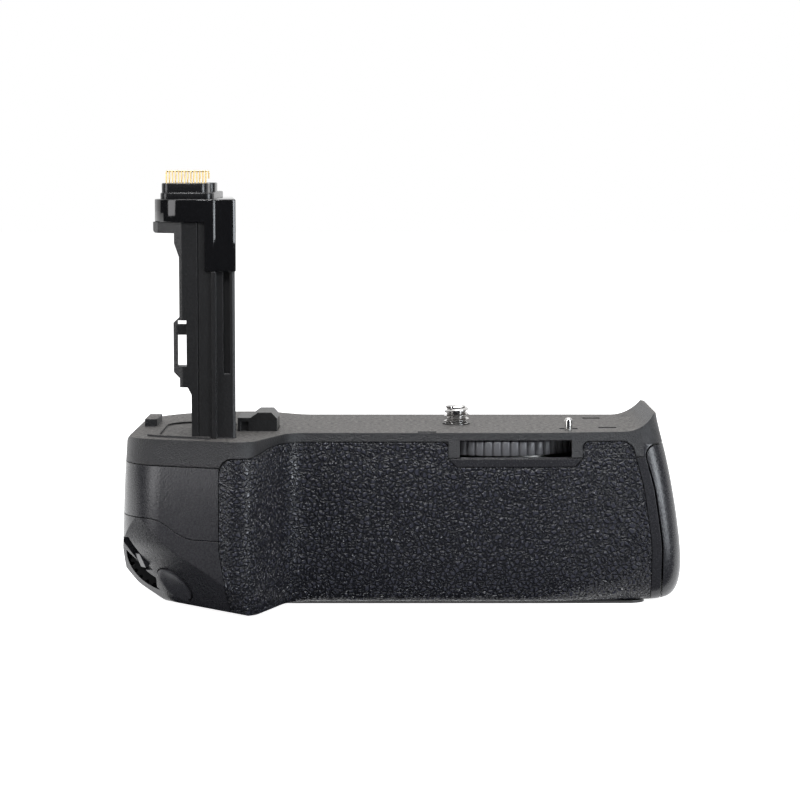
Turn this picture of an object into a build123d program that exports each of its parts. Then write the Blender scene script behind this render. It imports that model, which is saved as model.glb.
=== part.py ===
"""Battery grip that screws under a mid-size camera.

Millimetres. The origin is where the axis of the attachment screw meets the seat
that the camera stands on. +Z is up, +X runs to the magazine's end, and the lens
side of the camera faces -Y.
"""
from build123d import *
from math import cos, pi, radians, sin, sqrt
import os

os.makedirs("parts", exist_ok=True)

# Body seen from above, measured from the attachment screw's axis
sole_depth = 42.0
left_reach = 81.1
right_reach = 50.2
front_reach = 21.5
back_reach = 23.6
bulge_front = 43.8
bulge_right = 50.0
shoulder_front = 32.0
groove_right = 41.5
taper_start = 22.0
taper_front = 17.5
thumb_back = 33.0
thumb_left = 80.4
thumb_right = 49.0
thumb_end = 40.0
shoulder_radius = 15.0
bulge_radius = 5.0
groove_radius = 7.0
taper_radius = 60.0
end_radius = 6.0
thumb_radius = 7.0
deck_radius = 26.0
deck_radius_depth = 27.7
overrun = 100.0

# How far the sides swell out below the rim
left_swell = 1.0
end_swell = 5.0
front_swell = 3.3
back_swell = 3.0
level_shares = (
    # depth, left, end, front, back
    (0.00, 0.0, 0.00, 0.00, 0.00),
    (0.33, 0.6, 0.60, 0.80, 0.80),
    (0.66, 1.0, 1.00, 1.00, 1.00),
    (0.88, 0.6, 0.98, 0.85, 0.85),
    (0.97, -0.8, 0.66, 0.35, 0.35),
    (1.00, -3.0, 0.14, -0.40, -0.40),
)

# Sweep of the seat up to the ridge at the magazine's end
ear_rise = 4.1
ear_start = 41.0
ear_ridge = 48.5
ear_width = 0.8

# Rounded rim round the seat's left part
rim_radius = 3.2
rim_left_share = 0.45
rim_slack = 0.15
rim_end = 42.5
rim_turns = (0, 22.5, 45, 67.5, 90)

# Cut corner under the index finger, in the diagonal plane to the front left
corner_foot = 65.6
corner_reach = 79.6
corner_slope_share = 0.733
corner_radius = 14.0
corner_foot_radius = 3.0

# Foot cut off below the left side
foot_points = ((-82.0, -33.5), (-79.0, -37.6), (-66.8, -44.9))
foot_shift_shares = ((0.859, 0.512), (0.723, 0.739), (0.493, 0.870))
foot_radius = 6.0

# Walls and clearances
wall = 2.6
skin = 1.3
top_wall = 1.8
sole_wall = 2.2
bulkhead = 2.2
seam = 0.2
cap_seam = 0.45
running_gap = 0.3
shaft_gap = 0.05

# Joint lines seen from the front
skirt_depth = 6.2
skirt_end = 53.9
rim_depth = 2.2
step_depth = 3.9
step_left = 49.5
step_right = 45.5
step_radius = 5.0
panel_end = 57.4
tongue_left = 2.4
tongue_right = 30.6
tongue_depth = 6.1
tongue_radius = 1.5
bezel_depth = 8.2
bezel_chamfer = 2.0
cap_top = 3.0
cap_thickness = 4.5
cap_corner = 2.5
trim_width = 3.0
skin_corner = 3.5
skin_foot = 54.8
skin_bend = 26.0
line_radius = 30.0
wave_start_depth = 19.0
wave_end_depth = 23.6
wave_high = 72.5
wave_low = 65.5
wave_radius = 9.0
rear_skin_left = 52.0
rear_skin_top = 4.5
rear_skin_bottom = 38.5
rear_skin_corner = 5.0

# Base plate and its pad
plate_thickness = 0.7
plate_left = 45.0
plate_right = 46.5
plate_front = 19.0
plate_back = 20.5
plate_corner = 4.0
pad_thickness = 0.4
pad_left = 24.0
pad_right = 30.0
pad_front = 14.0
pad_back = 16.0
pad_corner = 5.0

# Magazine for two cells in line, each 57 x 38.4 x 21
cell_length = 57.0
cell_width = 38.4
cell_height = 21.0
cell_gap = 0.2
tray_side = 0.8
tray_partition = 2.4
tray_floor = 1.2
tray_right = 48.8
tray_front = 18.0
tray_top = 14.3
tray_window = 9.0
bay_wall = 1.2
bay_left = 57.0
rib_places = (-30.0, 15.0)
rib_thickness = 1.2

# Attachment screw with the 1/4 inch camera thread
thread_radius = 3.175
screw_rise = 4.7
screw_hole_gap = 0.4
thread_foot = 2.2
neck_radius = 2.9
neck_top = 0.3
screw_tip = 0.7
screw_slot_width = 1.0
screw_slot_depth = 0.8
journal_radius = 2.4
clip_radius = 4.0
clip_thickness = 0.6
journal_foot = 0.3

# Thumbwheel, a ring whose inner teeth go round the screw's pinion
wheel_radius = 21.2
wheel_top = 2.2
wheel_bottom = 5.8
wheel_turn = -3.7
rib_count = 60
rib_depth = 0.7
tyre_inner = 19.0
ring_teeth = 48
pinion_teeth = 16
gear_distance = 10.7
tooth_shares = (0.62, 0.28)
tooth_above_share = 0.60
tooth_below_share = 1.06
rib_shares = (0.66, 0.44)
slot_left = 0.4
slot_right = 27.9
slot_top = 1.9

# Wheel carrier, a steel plate with a round boss that the ring runs on
carrier_thickness = 1.2
carrier_radius = 18.6
bush_radius = 4.4
bush_depth = 2.2
carrier_screw_circle = 11.0
carrier_screw_turns = (20, 110, 290)
carrier_screw_radius = 1.0
carrier_head_radius = 1.9
carrier_head_height = 0.9
carrier_screw_bite = 0.9

# Locating pin
pin_x = 27.4
pin_y = -15.6
pin_radius = 0.95
pin_shank_radius = 0.65
pin_rise = 3.2
pin_head_radius = 1.4
pin_head_height = 0.5
pin_recess_radius = 1.0
pin_recess_depth = 0.3

# Stalk that stands in the camera's battery compartment
stalk_front = 34.0
stalk_depth = 38.4
stalk_right = 53.8
stalk_right_back = 56.9
stalk_corner = (-55.3, -33.0)
stalk_left = 67.1
stalk_top = 51.8
stalk_foot_left = 64.3
stalk_foot_height = 10.5
stalk_step_height = 12.3
stalk_step_left = 65.2
ridge_left = 59.3
ridge_width = 1.0
ridge_rise = 0.6
channel_left = 56.6
channel_right = 55.0
channel_foot = 15.5
channel_depth = 1.2
lip_left = 73.7
lip_height = 2.6
lip_corner = 0.8
tab_left = 68.3
tab_depth = 5.0
neck_height = 43.5
frame_left = 68.6
frame_low = 14.5
frame_high = 29.2
frame_slope = 1.4
window_left = 67.8
window_right = 65.4
window_low = 17.4
window_high = 28.4
bar_low = 24.9
bar_high = 27.4
bar_front = 33.0
bar_back = 30.5
fin_back = 29.2
fin_top = 46.0
groove_line = 62.7
groove_line_width = 0.3
cavity_wall = 2.2
flange_side = 4.2
flange_end = 1.6
flange_thickness = 1.4
stalk_screw_radius = 0.9
stalk_screw_head = 1.7
stalk_screw_height = 0.8
stalk_screw_bite = 0.7
stalk_screw_inset = 1.8
stalk_screw_front = 18.0
stalk_screw_back = 3.0
stalk_gap = 0.15

# Glossy cap on the stalk
cap_height = 5.5
cap_skirt_left = 60.95
cap_skirt_depth = 11.7
cap_skin = 0.6
cap_right_back = 56.6
cap_edge = 58.7
cap_left = 73.4
cap_facets = ((-73.2, -28.6), (-71.7, -31.2), (-70.2, -32.55), (-66.6, -34.6))
lip_facets = ((-73.7, -28.2), (-72.4, -30.5), (-69.9, -32.0), (-66.4, -34.0))
cap_points = ((-58.4, -34.2), (-55.6, -34.2), (-53.5, -33.3))
core_right = 59.0

# Contact block on the cap
block_left = 71.85
block_right = 58.9
block_front = 30.8
block_back = 4.0
block_step = 1.5
block_height = 3.8
upper_left = 71.6
upper_right = 60.3
upper_front = 30.0
upper_back = 19.0
rear_left = 70.7
rear_right = 59.3
rear_back = 11.0
contact_count = 7
contact_width = 0.5
contact_rise = 3.2
contact_hook = 0.8
contact_left = 70.7
contact_right = 61.9
contact_row_front = 28.0
contact_row_back = 24.5
contact_sink = 1.0

# Raised block beside the stalk that fills the camera's door opening
door_profile = ((-54.3, 3.3), (-51.1, 3.3), (-49.3, 4.6), (-46.0, 4.6), (-44.6, 3.1))
door_front = 17.5
door_back = -4.0
door_sink = 0.4
door_gap = 0.1
door_pit = 0.8
door_pit_left = 53.6
door_pit_right = 51.7
door_pit_top = 2.3

# Low ribs and the sunk floor on the seat round the stalk
fence_inset = 1.8
fence_setback = 1.6
fence_width = 1.2
fence_rise = 0.5
fence_left = 75.5
fence_right = 59.7
fence_back = 4.0
stop_inset = 2.6
stop_width = 3.0
stop_rise = 1.9
stop_front = 7.0
stop_back = 6.0
stop_right = 70.0
sump_depth = 0.5
sump_left = 73.0
sump_right = 55.5
sump_front = 31.0
sump_back = 6.0
sump_corner = 8.0
slit_places = ((27.7, -11.5), (35.2, 14.0), (37.6, -9.0), (-7.6, -19.6))
slit_length = 4.6
slit_width = 2.6
slit_depth = 0.6

# Shutter button on the cut corner
button_radius = 5.15
button_proud = 0.3
button_foot = 1.7
button_flange = 0.4
button_flange_height = 0.5
button_travel = 1.0
button_dish = 0.3
button_dish_radius = 4.3
button_depth = 36.2
button_along = 27.8
cup_wall = 0.8
cup_floor = 0.8
switch_size = 4.4
switch_height = 0.8

# Main dial behind the shutter button
dial_x = -71.8
dial_depth = 29.3
dial_radius = 9.0
dial_front = 22.6
dial_width = 3.0
dial_teeth = 28
dial_tooth_depth = 0.8
dial_shares = (0.7, 0.38)
dial_room = 0.4
dial_mouth = 3.2
dial_mouth_bore = 6.2
dial_mouth_left = 74.0
dial_mouth_top = 27.5
dial_axle_radius = 1.2
dial_wall = 1.0
dial_wall_left = 81.0
dial_wall_right = 64.0
dial_wall_half = 5.0
axle_head_radius = 2.0
axle_head_height = 0.4
axle_head_sink = 0.5

# Power switch in its slot at the front left
lever_place = (-78.3, -27.7, -28.8)
lever_facing_shares = (-0.77, -0.49, -0.42)
lever_run_shares = (0.374, 0.187, -0.907)
lever_slot_length = 10.4
lever_slot_width = 3.2
lever_slot_depth = 1.4
lever_length = 3.8
lever_width = 2.6
lever_proud = 0.1
lever_travel = 4.0
lever_neck_length = 2.0
lever_neck_width = 0.9
lever_foot_length = 2.6
lever_foot_width = 2.4
lever_foot_height = 0.6
lever_floor = 1.2

# Buttons at the back
key_radius = 1.9
key_depth = 30.4
key_first = -70.2
key_pitch = 5.0
key_names = ("focus_start_button", "exposure_lock_button", "focus_point_button")
key_surface = 36.0
key_proud = 0.8
key_flange = 0.6
key_flange_height = 0.6
key_travel = 0.7
key_switch_size = 3.0
key_switch_height = 1.2
key_board_left = 73.6
key_board_right = 58.6
key_board_half = 6.0
key_post_radius = 1.2
key_post_rise = 4.4
key_post_root = 0.5

# Lock knob on the end cap
knob_radius = 8.0
knob_y = 2.2
knob_depth = 24.0
knob_floor = 52.4
knob_thickness = 0.9
knob_bar_width = 3.0
knob_bar_top = 54.9
knob_shaft_radius = 2.2
cam_radius = 4.6
cam_start = 49.1
cam_thickness = 1.1
cam_flat = 3.2
cam_room_end = 50.5

# Sprung catches that hold the cells
catch_width = 6.0
catch_height = 3.4
catch_thickness = 0.9
catch_nose = 0.7
catch_nose_height = 0.9
catch_set = 0.1
catch_slot = 2.1

# Boards, contact blades and the flat cable
board_thickness = 1.2
board_left = 50.0
board_right = 12.0
board_front = 15.0
board_back = 17.0
chip_size = 7.0
chip_height = 1.2
chip_pitch = 11.0
chip_count = 3
chip_first = -40.0
chip_y = 4.0
blade_count = 4
blade_pitch = 5.0
blade_width = 2.0
blade_height = 8.0
blade_thickness = 0.5
contact_pad = 0.2
contact_block_half = 10.0
contact_block_low = 31.0
contact_block_high = 21.5
contact_block_right = 73.2
cable_width = 10.0
cable_thickness = 0.4
cable_x = -60.6
cable_y = -10.0
cable_top = 20.0
cable_end = -47.0

# Tripod socket and fasteners
socket_radius = 6.0
socket_minor_radius = 2.55
socket_depth = 4.6
socket_top = 37.4
socket_flange_radius = 8.0
socket_flange_height = 0.4
pad_hole_gap = 0.3
base_screw_radius = 1.1
base_screw_head = 2.1
base_screw_length = 2.6
base_screw_left = 39.0
base_screw_right = 41.0
base_screw_front = 13.0
base_screw_back = 15.5
drive_radius = 0.9
drive_depth = 0.4
core_top = 56.0
core_inset = 3.0


def outline(swell, inset, drawn=0, height=0):
    """Corner points and radii of the body at one level, drawn in by an inset."""
    left, end, front, back = swell
    far_left = left_reach + left - inset
    far_right = right_reach + end - inset
    ahead = front - inset
    behind = back - inset
    lowered = min(max(-height / deck_radius_depth, 0), 1)
    back_radius = deck_radius - lowered * (deck_radius - thumb_radius)
    corners = (
        (-far_left + rim_left_share * drawn, -(shoulder_front + ahead - drawn)),
        (-bulge_right, -(bulge_front + ahead - drawn)),
        (-groove_right, -(front_reach + ahead)),
        (taper_start, -(front_reach + ahead)),
        (far_right, -(taper_front + ahead)),
        (far_right, back_reach + behind),
        (-thumb_end, back_reach + behind),
        (-thumb_right, thumb_back + behind - rim_left_share * drawn),
        (-(thumb_left + left - inset - rim_left_share * drawn), thumb_back + behind - rim_left_share * drawn),
    )
    radii = (
        shoulder_radius - inset,
        max(bulge_radius - inset, 0),
        groove_radius + inset,
        taper_radius,
        end_radius - inset,
        end_radius - inset,
        groove_radius,
        thumb_radius - inset,
        back_radius - inset - rim_left_share * drawn,
    )
    return corners, radii


def level_face(height, swell, inset, drawn=0):
    """The body's outline as a face at one height."""
    corners, radii = outline(swell, inset, drawn, height)
    with BuildSketch(Plane.XY.offset(height)) as level:
        with BuildLine():
            FilletPolyline(*corners, radius=radii, close=True)
        make_face()
    return level.sketch


def body_loft(inset, top, bottom):
    """Solid of the body between two heights, drawn in by an inset all round."""
    start = min(top, 0)
    faces = []
    if top > 0:
        faces.append(level_face(top, (0, ear_ridge + ear_width - right_reach, 0, 0), inset))
    for depth, left, end, front, back in level_shares:
        swell = (left * left_swell, end * end_swell, front * front_swell, back * back_swell)
        faces.append(level_face(start - depth * (start - bottom), swell, inset))
    with BuildPart() as form:
        loft(faces)
        add(corner_cut(inset), mode=Mode.SUBTRACT)
        add(foot_cut(inset), mode=Mode.SUBTRACT)
    return form.part


def foot_cut(inset):
    """What is missing below the left side, drawn in by an inset."""
    bend = []
    for (x, z), (along, up) in zip(foot_points, foot_shift_shares):
        bend.append((x + inset * along, z + inset * up))
    corners = ((-overrun, bend[0][1]), *bend, (bend[2][0], -overrun), (-overrun, -overrun))
    return prism(corners, (0, 0, foot_radius - inset, 0, 0, 0))


def corner_cut(inset):
    """What the cut corner takes off, drawn in by an inset."""
    slant = sqrt(1 + corner_slope_share**2)
    foot = corner_foot - inset * slant
    reach = corner_reach - inset
    top = -sole_depth + (reach - foot) / corner_slope_share
    with BuildPart() as cut:
        with BuildSketch(Plane(origin=(0, 0, 0), x_dir=(-1, -1, 0), z_dir=(-1, 1, 0)).offset(-overrun)):
            with BuildLine():
                FilletPolyline(
                    (reach, overrun),
                    (reach, top),
                    (foot, -sole_depth),
                    (0, -sole_depth),
                    (0, -overrun),
                    (2 * overrun, -overrun),
                    (2 * overrun, overrun),
                    radius=(0, corner_radius, corner_foot_radius, 0, 0, 0, 0),
                    close=True,
                )
            make_face()
        extrude(amount=2 * overrun)
    return cut.part


def prism(corners, radii, front=overrun, back=overrun):
    """Solid between two planes across Y, with an outline drawn in X and Z."""
    with BuildPart() as zone:
        with BuildSketch(Plane.XZ.offset(front)):
            with BuildLine():
                FilletPolyline(*corners, radius=radii, close=True)
            make_face()
        extrude(amount=-(front + back))
    return zone.part


def block(left, right, front, back, bottom, top):
    """Rectangular solid between six planes."""
    with BuildPart() as box:
        with BuildSketch(Plane.XY.offset(bottom)):
            with BuildLine():
                Polyline((left, front), (right, front), (right, back), (left, back), close=True)
            make_face()
        extrude(amount=top - bottom)
    return box.part


def post(plane, radius, length):
    """Round solid that stands on a plane."""
    with BuildPart() as bar:
        with BuildSketch(plane):
            Circle(radius)
        extrude(amount=length)
    return bar.part


def gear_points(teeth, root, tip, shares, turn=0):
    """Corner points of a toothed outline, four to a tooth."""
    root_share, tip_share = shares
    points = []
    pitch = 2 * pi / teeth
    for tooth in range(teeth):
        middle = radians(turn) + tooth * pitch
        for radius, width in ((root, -root_share), (tip, -tip_share), (tip, tip_share), (root, root_share)):
            angle = middle + width * pitch / 2
            points.append((radius * cos(angle), radius * sin(angle)))
    return points


def toothed(plane, points, length):
    """Solid with a toothed outline that stands on a plane."""
    with BuildPart() as wheel:
        with BuildSketch(plane):
            with BuildLine():
                Polyline(*points, close=True)
            make_face()
        extrude(amount=length)
    return wheel.part


def slab(plane, length, width, height):
    """Rectangular solid that stands on the middle of a plane."""
    with BuildPart() as plate:
        with BuildSketch(plane):
            Rectangle(length, width)
        extrude(amount=height)
    return plate.part


def cleared(start, *cuts):
    """A solid with others taken off."""
    with BuildPart() as rest:
        add(start)
        for cut in cuts:
            add(cut, mode=Mode.SUBTRACT)
    return rest.part


def shared(first, second):
    """What two solids have in common."""
    with BuildPart() as common:
        add(first)
        add(second, mode=Mode.INTERSECT)
    return common.part


def joined(*pieces):
    """Several solids as one."""
    with BuildPart() as whole:
        for piece in pieces:
            add(piece)
    return whole.part


def at(x, y, z):
    """Plane across Z at a point."""
    return Plane((x, y, z))


def rounded_plate(corners, radius, bottom, height):
    """Flat solid with rounded corners."""
    with BuildPart() as plate:
        with BuildSketch(Plane.XY.offset(bottom)):
            with BuildLine():
                FilletPolyline(*corners, radius=radius, close=True)
            make_face()
        extrude(amount=height)
    return plate.part


def end_line(offset):
    """Points of a joint line that follows the magazine's end, from the top down."""
    points = []
    for depth, left, end, front, back in level_shares[1:4]:
        points.append((right_reach + end * end_swell - offset, -depth * sole_depth))
    points.append((points[-1][0], -overrun))
    return points


def cover_zone(gap):
    """Everything that belongs to the top cover, let down by a gap."""
    cap_left = right_reach - cap_thickness
    corners = (
        (-overrun, overrun),
        (-overrun, -skirt_depth - gap),
        (-skirt_end + gap, -skirt_depth - gap),
        (-skirt_end + gap, -step_depth - gap),
        (-step_left, -step_depth - gap),
        (-step_right, -rim_depth - gap),
        (-tongue_left - gap, -rim_depth - gap),
        (-tongue_left - gap, -tongue_depth - gap),
        (cap_left, -tongue_depth - gap),
        (cap_left, -cap_top),
        (overrun, -cap_top),
        (overrun, overrun),
    )
    return prism(corners, (0, 0, 0, 0, step_radius, step_radius, 0, 0, 0, 0, 0, 0))


def cap_zone(gap):
    """Everything that belongs to the end cap, grown by a gap."""
    line = end_line(cap_thickness + gap)
    top = -cap_top - cap_seam + gap
    corners = ((right_reach - cap_thickness - gap, top), *line, (overrun, -overrun), (overrun, top))
    return prism(corners, (cap_corner + gap, line_radius, line_radius, 0, 0, 0, 0))


def wave(gap):
    """Joint line above the finger controls, from left to right."""
    return (
        (-overrun, -wave_start_depth + gap),
        (-wave_high, -wave_start_depth + gap),
        (-wave_low, -wave_end_depth + gap),
        (-panel_end + gap, -wave_end_depth + gap),
    )


def control_zone(gap):
    """Everything that belongs to the control housing, grown by a gap."""
    corners = (
        *wave(gap),
        (-panel_end + gap, -skin_bend),
        (-skin_foot + gap, -sole_depth),
        (-skin_foot + gap, -overrun),
        (-overrun, -overrun),
    )
    return prism(corners, (0, wave_radius, wave_radius, 0, 0, 0, 0, 0))


def panel_zone(gap):
    """Everything that belongs to the side panel, grown by a gap."""
    start, high, low, end = wave(seam - gap)
    right = -panel_end + gap
    top = -skirt_depth - seam + gap
    corners = (start, high, low, (right, end[1]), (right, top), (-overrun, top))
    return prism(corners, (0, wave_radius, wave_radius, 0, 0, 0))


def front_skin_zone(gap):
    """Everything that belongs to the front grip skin, grown by a gap."""
    top = -rim_depth - seam + gap
    step = -step_depth - seam + gap
    left = -panel_end + seam - gap
    foot = -skin_foot + seam - gap
    right = right_reach - cap_thickness - trim_width + gap
    lobe = tongue_right + seam - gap
    notch = -tongue_left - seam + gap
    shelf = -tongue_depth - seam
    bezel = -bezel_depth - seam + gap
    line = end_line(cap_thickness + trim_width - gap)
    corners = (
        (left, step),
        (left, -skin_bend),
        (foot, -sole_depth),
        (foot, -overrun),
        *line[::-1],
        (right, top),
        (lobe, top),
        (lobe, shelf),
        (lobe - bezel_chamfer, bezel),
        (notch + bezel_chamfer, bezel),
        (notch, shelf),
        (notch, top),
        (-step_right, top),
        (-step_left, step),
    )
    radii = (skin_corner, wave_radius, 0, 0, 0, line_radius, line_radius, line_radius, skin_corner,
             tongue_radius, 0, 0, 0, 0, tongue_radius, step_radius, step_radius)
    return prism(corners, radii, back=0)


def rear_skin_zone(gap):
    """Everything that belongs to the rear grip skin, grown by a gap."""
    top = -rear_skin_top + gap
    bottom = -rear_skin_bottom - gap
    line = end_line(cap_thickness + trim_width - gap)
    corners = (
        (-rear_skin_left - gap, top),
        (-rear_skin_left - gap, bottom),
        (line[2][0], bottom),
        line[1],
        line[0],
        (right_reach - cap_thickness - trim_width + gap, top),
    )
    radii = (rear_skin_corner, rear_skin_corner, skin_corner, line_radius, line_radius, skin_corner)
    return prism(corners, radii, front=0)


# Whole body, its hollow, and the surface that lies under the glued skins
with BuildPart() as seat_cut:
    with BuildSketch(Plane.XZ.offset(overrun)):
        with BuildLine():
            seat_floor = Line((-overrun, 0), (ear_start, 0))
            seat_sweep = TangentArc(seat_floor @ 1, (ear_ridge, ear_rise), tangent=seat_floor % 1)
            Polyline(seat_sweep @ 1, (ear_ridge, overrun), (-overrun, overrun), seat_floor @ 0)
        make_face()
    extrude(amount=-2 * overrun)

rim_faces = []
for turn in rim_turns:
    drawn = rim_radius * (1 - sin(radians(turn)))
    level = -rim_radius * (1 - cos(radians(turn)))
    rim_faces.append(level_face(level, (rim_slack, end_swell, front_swell, rim_slack), 0, drawn))
with BuildPart() as rim_waste:
    add(block(-overrun, -rim_end, -overrun, overrun, -rim_radius, overrun))
    loft(rim_faces, ruled=True, mode=Mode.SUBTRACT)

with BuildPart() as body:
    add(body_loft(0, ear_rise, -sole_depth))
    add(seat_cut.part, mode=Mode.SUBTRACT)
    add(rim_waste.part, mode=Mode.SUBTRACT)

hollow = body_loft(wall, -top_wall, -sole_depth + sole_wall)
under_skin = body_loft(skin, ear_rise, -sole_depth)
with BuildPart() as shell:
    add(body.part)
    add(hollow, mode=Mode.SUBTRACT)

# Magazine and the bay that it slides in
tray_back = tray_front - 2 * (tray_side + cell_gap) - cell_width
tray_bottom = tray_top + tray_floor + cell_height + 2 * cell_gap
pocket_length = cell_length + 2 * cell_gap
pocket_right = tray_right - tray_side
pocket_middle = pocket_right - pocket_length
far_pocket_right = pocket_middle - tray_partition
far_pocket_left = far_pocket_right - pocket_length
tray_left = far_pocket_left - tray_partition
pocket_front = -tray_front + tray_side
pocket_back = -tray_back - tray_side
bay_front = -tray_front - running_gap
bay_back = -tray_back + running_gap
bay_top = -tray_top + running_gap
bay_bottom = -tray_bottom - running_gap
bay = block(tray_left - running_gap, overrun, bay_front, bay_back, bay_bottom, bay_top)

# Wheel and screw positions
wheel_x = gear_distance * cos(radians(wheel_turn))
wheel_y = gear_distance * sin(radians(wheel_turn))
wheel_plane = Plane((wheel_x, wheel_y, 0))
module = 2 * gear_distance / (ring_teeth - pinion_teeth)
ring_pitch_radius = ring_teeth * module / 2
pinion_pitch_radius = pinion_teeth * module / 2
ring_tip = ring_pitch_radius - tooth_above_share * module
ring_root = ring_pitch_radius + tooth_below_share * module
pinion_tip = pinion_pitch_radius + tooth_above_share * module
pinion_root = pinion_pitch_radius - tooth_below_share * module
boss_radius = ring_tip - running_gap
plate_top = -wheel_bottom - running_gap
plate_bottom = plate_top - carrier_thickness
bush_bottom = plate_bottom - bush_depth
wheel_room_radius = wheel_radius + running_gap

# Slide-in parts of the stalk and where it passes the seat
stalk_profile = (
    (-stalk_right, -top_wall - flange_thickness),
    (-stalk_right, stalk_top),
    (-lip_left, stalk_top),
    (-lip_left, stalk_top - lip_height),
    (-tab_left, stalk_top - lip_height),
    (-tab_left, stalk_top - tab_depth),
    (-stalk_left, neck_height),
    (-stalk_left, frame_high),
    (-frame_left, frame_high - frame_slope),
    (-frame_left, frame_low + frame_slope),
    (-stalk_left, frame_low),
    (-stalk_left, stalk_step_height),
    (-stalk_step_left, stalk_step_height),
    (-stalk_foot_left, stalk_foot_height),
    (-stalk_foot_left, -top_wall - flange_thickness),
)
stalk_square = [0] * (len(stalk_profile) - 4)
stalk_back = stalk_depth - stalk_front
stalk_plan = (
    *lip_facets,
    (stalk_corner[0], -stalk_front),
    (-stalk_right, stalk_corner[1]),
    (-stalk_right_back, stalk_back),
    (-lip_left, stalk_back),
)
with BuildPart() as stalk_column:
    with BuildSketch(Plane.XY.offset(-overrun)):
        with BuildLine():
            Polyline(*stalk_plan, close=True)
        make_face()
    extrude(amount=2 * overrun)
with BuildPart() as stalk_hole:
    with BuildSketch(Plane.XY.offset(-overrun)):
        with BuildLine():
            Polyline(*stalk_plan, close=True)
        make_face()
        offset(amount=stalk_gap, kind=Kind.INTERSECTION)
    extrude(amount=2 * overrun)
    hole_left = -stalk_foot_left - stalk_gap
    add(block(hole_left, overrun, -overrun, overrun, -overrun, overrun), mode=Mode.INTERSECT)

# Frame of the shutter button: its plane lies on the cut corner, facing out
button_across = corner_foot + (sole_depth - button_depth) * corner_slope_share
button_plane = Plane(
    origin=(
        -(button_across + button_along) / sqrt(2),
        -(button_across - button_along) / sqrt(2),
        -button_depth,
    ),
    x_dir=(1, -1, 0),
    z_dir=(-1, -1, -corner_slope_share * sqrt(2)),
)
button_bottom = button_foot
switch_top = button_bottom + button_travel + running_gap
cup_depth = switch_top + switch_height
button_hole = button_radius + running_gap
button_room = button_radius + button_flange + running_gap
lip_depth = button_foot - button_flange_height - running_gap
dial_axis = Plane((dial_x, 0, -dial_depth), x_dir=(1, 0, 0), z_dir=(0, 1, 0))
dial_back = dial_front - dial_width
dial_plane = dial_axis.offset(-dial_front)
lever_plane = Plane(origin=lever_place, x_dir=lever_run_shares, z_dir=lever_facing_shares)
key_inner = key_surface - wall
key_foot = key_inner - running_gap - key_flange_height
key_board_front = key_foot - key_travel - running_gap - key_switch_height
key_places = []
for index in range(len(key_names)):
    key_places.append(key_first + index * key_pitch)
post_places = []
for index in range(len(key_names) - 1):
    for rise in (-key_post_rise, key_post_rise):
        post_places.append((key_first + (index + 0.5) * key_pitch, rise - key_depth))

# Where each glued skin lies, and the gap cut round it
skin_layer = cleared(body.part, under_skin)
front_recess = shared(skin_layer, front_skin_zone(seam))
rear_recess = shared(skin_layer, rear_skin_zone(seam))
panel_recess = shared(skin_layer, panel_zone(seam))
front_skin = shared(skin_layer, front_skin_zone(0))
rear_skin = shared(skin_layer, rear_skin_zone(0))
side_skin = shared(skin_layer, panel_zone(0))

# Screws that hold the wheel carrier and the stalk to the seat
carrier_screw_places = []
for turn in carrier_screw_turns:
    carrier_screw_places.append(
        (
            wheel_x + carrier_screw_circle * cos(radians(turn)),
            wheel_y + carrier_screw_circle * sin(radians(turn)),
        )
    )
flange_low = -top_wall - flange_thickness
stalk_screw_places = []
for x in (-stalk_foot_left - flange_side + stalk_screw_inset, -stalk_right + flange_side - stalk_screw_inset):
    for y in (-stalk_screw_front, stalk_screw_back):
        stalk_screw_places.append((x, y))

# Top cover with the seat, the wheel's slot and the ribs round the stalk
fence_swell = (0, 0, -fence_setback, 0)
with BuildPart() as fence:
    with BuildSketch(Plane.XY):
        add(level_face(0, fence_swell, fence_inset))
        add(level_face(0, fence_swell, fence_inset + fence_width), mode=Mode.SUBTRACT)
    extrude(amount=fence_rise)
    add(block(-fence_left, -fence_right, -overrun, -fence_back, 0, overrun), mode=Mode.INTERSECT)

with BuildPart() as stop:
    with BuildSketch(Plane.XY):
        add(level_face(0, (0, 0, 0, 0), stop_inset))
        add(level_face(0, (0, 0, 0, 0), stop_inset + stop_width), mode=Mode.SUBTRACT)
    extrude(amount=stop_rise)
    add(block(-overrun, -stop_right, -stop_front, stop_back, 0, overrun), mode=Mode.INTERSECT)

with BuildPart() as sump:
    with BuildSketch(Plane.XY.offset(-sump_depth)):
        with BuildLine():
            FilletPolyline(
                (-sump_right, -sump_front),
                (-sump_right, sump_back),
                (-sump_left, sump_back),
                (-sump_left, -sump_front),
                radius=sump_corner,
                close=True,
            )
        make_face()
    extrude(amount=overrun)

door_left = door_profile[0][0]
door_end = door_profile[-1][0]
ridge_notch = block(
    -ridge_left - stalk_gap,
    -ridge_left + ridge_width + stalk_gap,
    -stalk_front - ridge_rise - stalk_gap,
    -stalk_front,
    -sump_depth,
    overrun,
)
door_pocket = block(
    door_left - door_gap,
    door_end + door_gap,
    -door_front - door_gap,
    door_back + door_gap,
    -door_sink,
    overrun,
)

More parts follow.
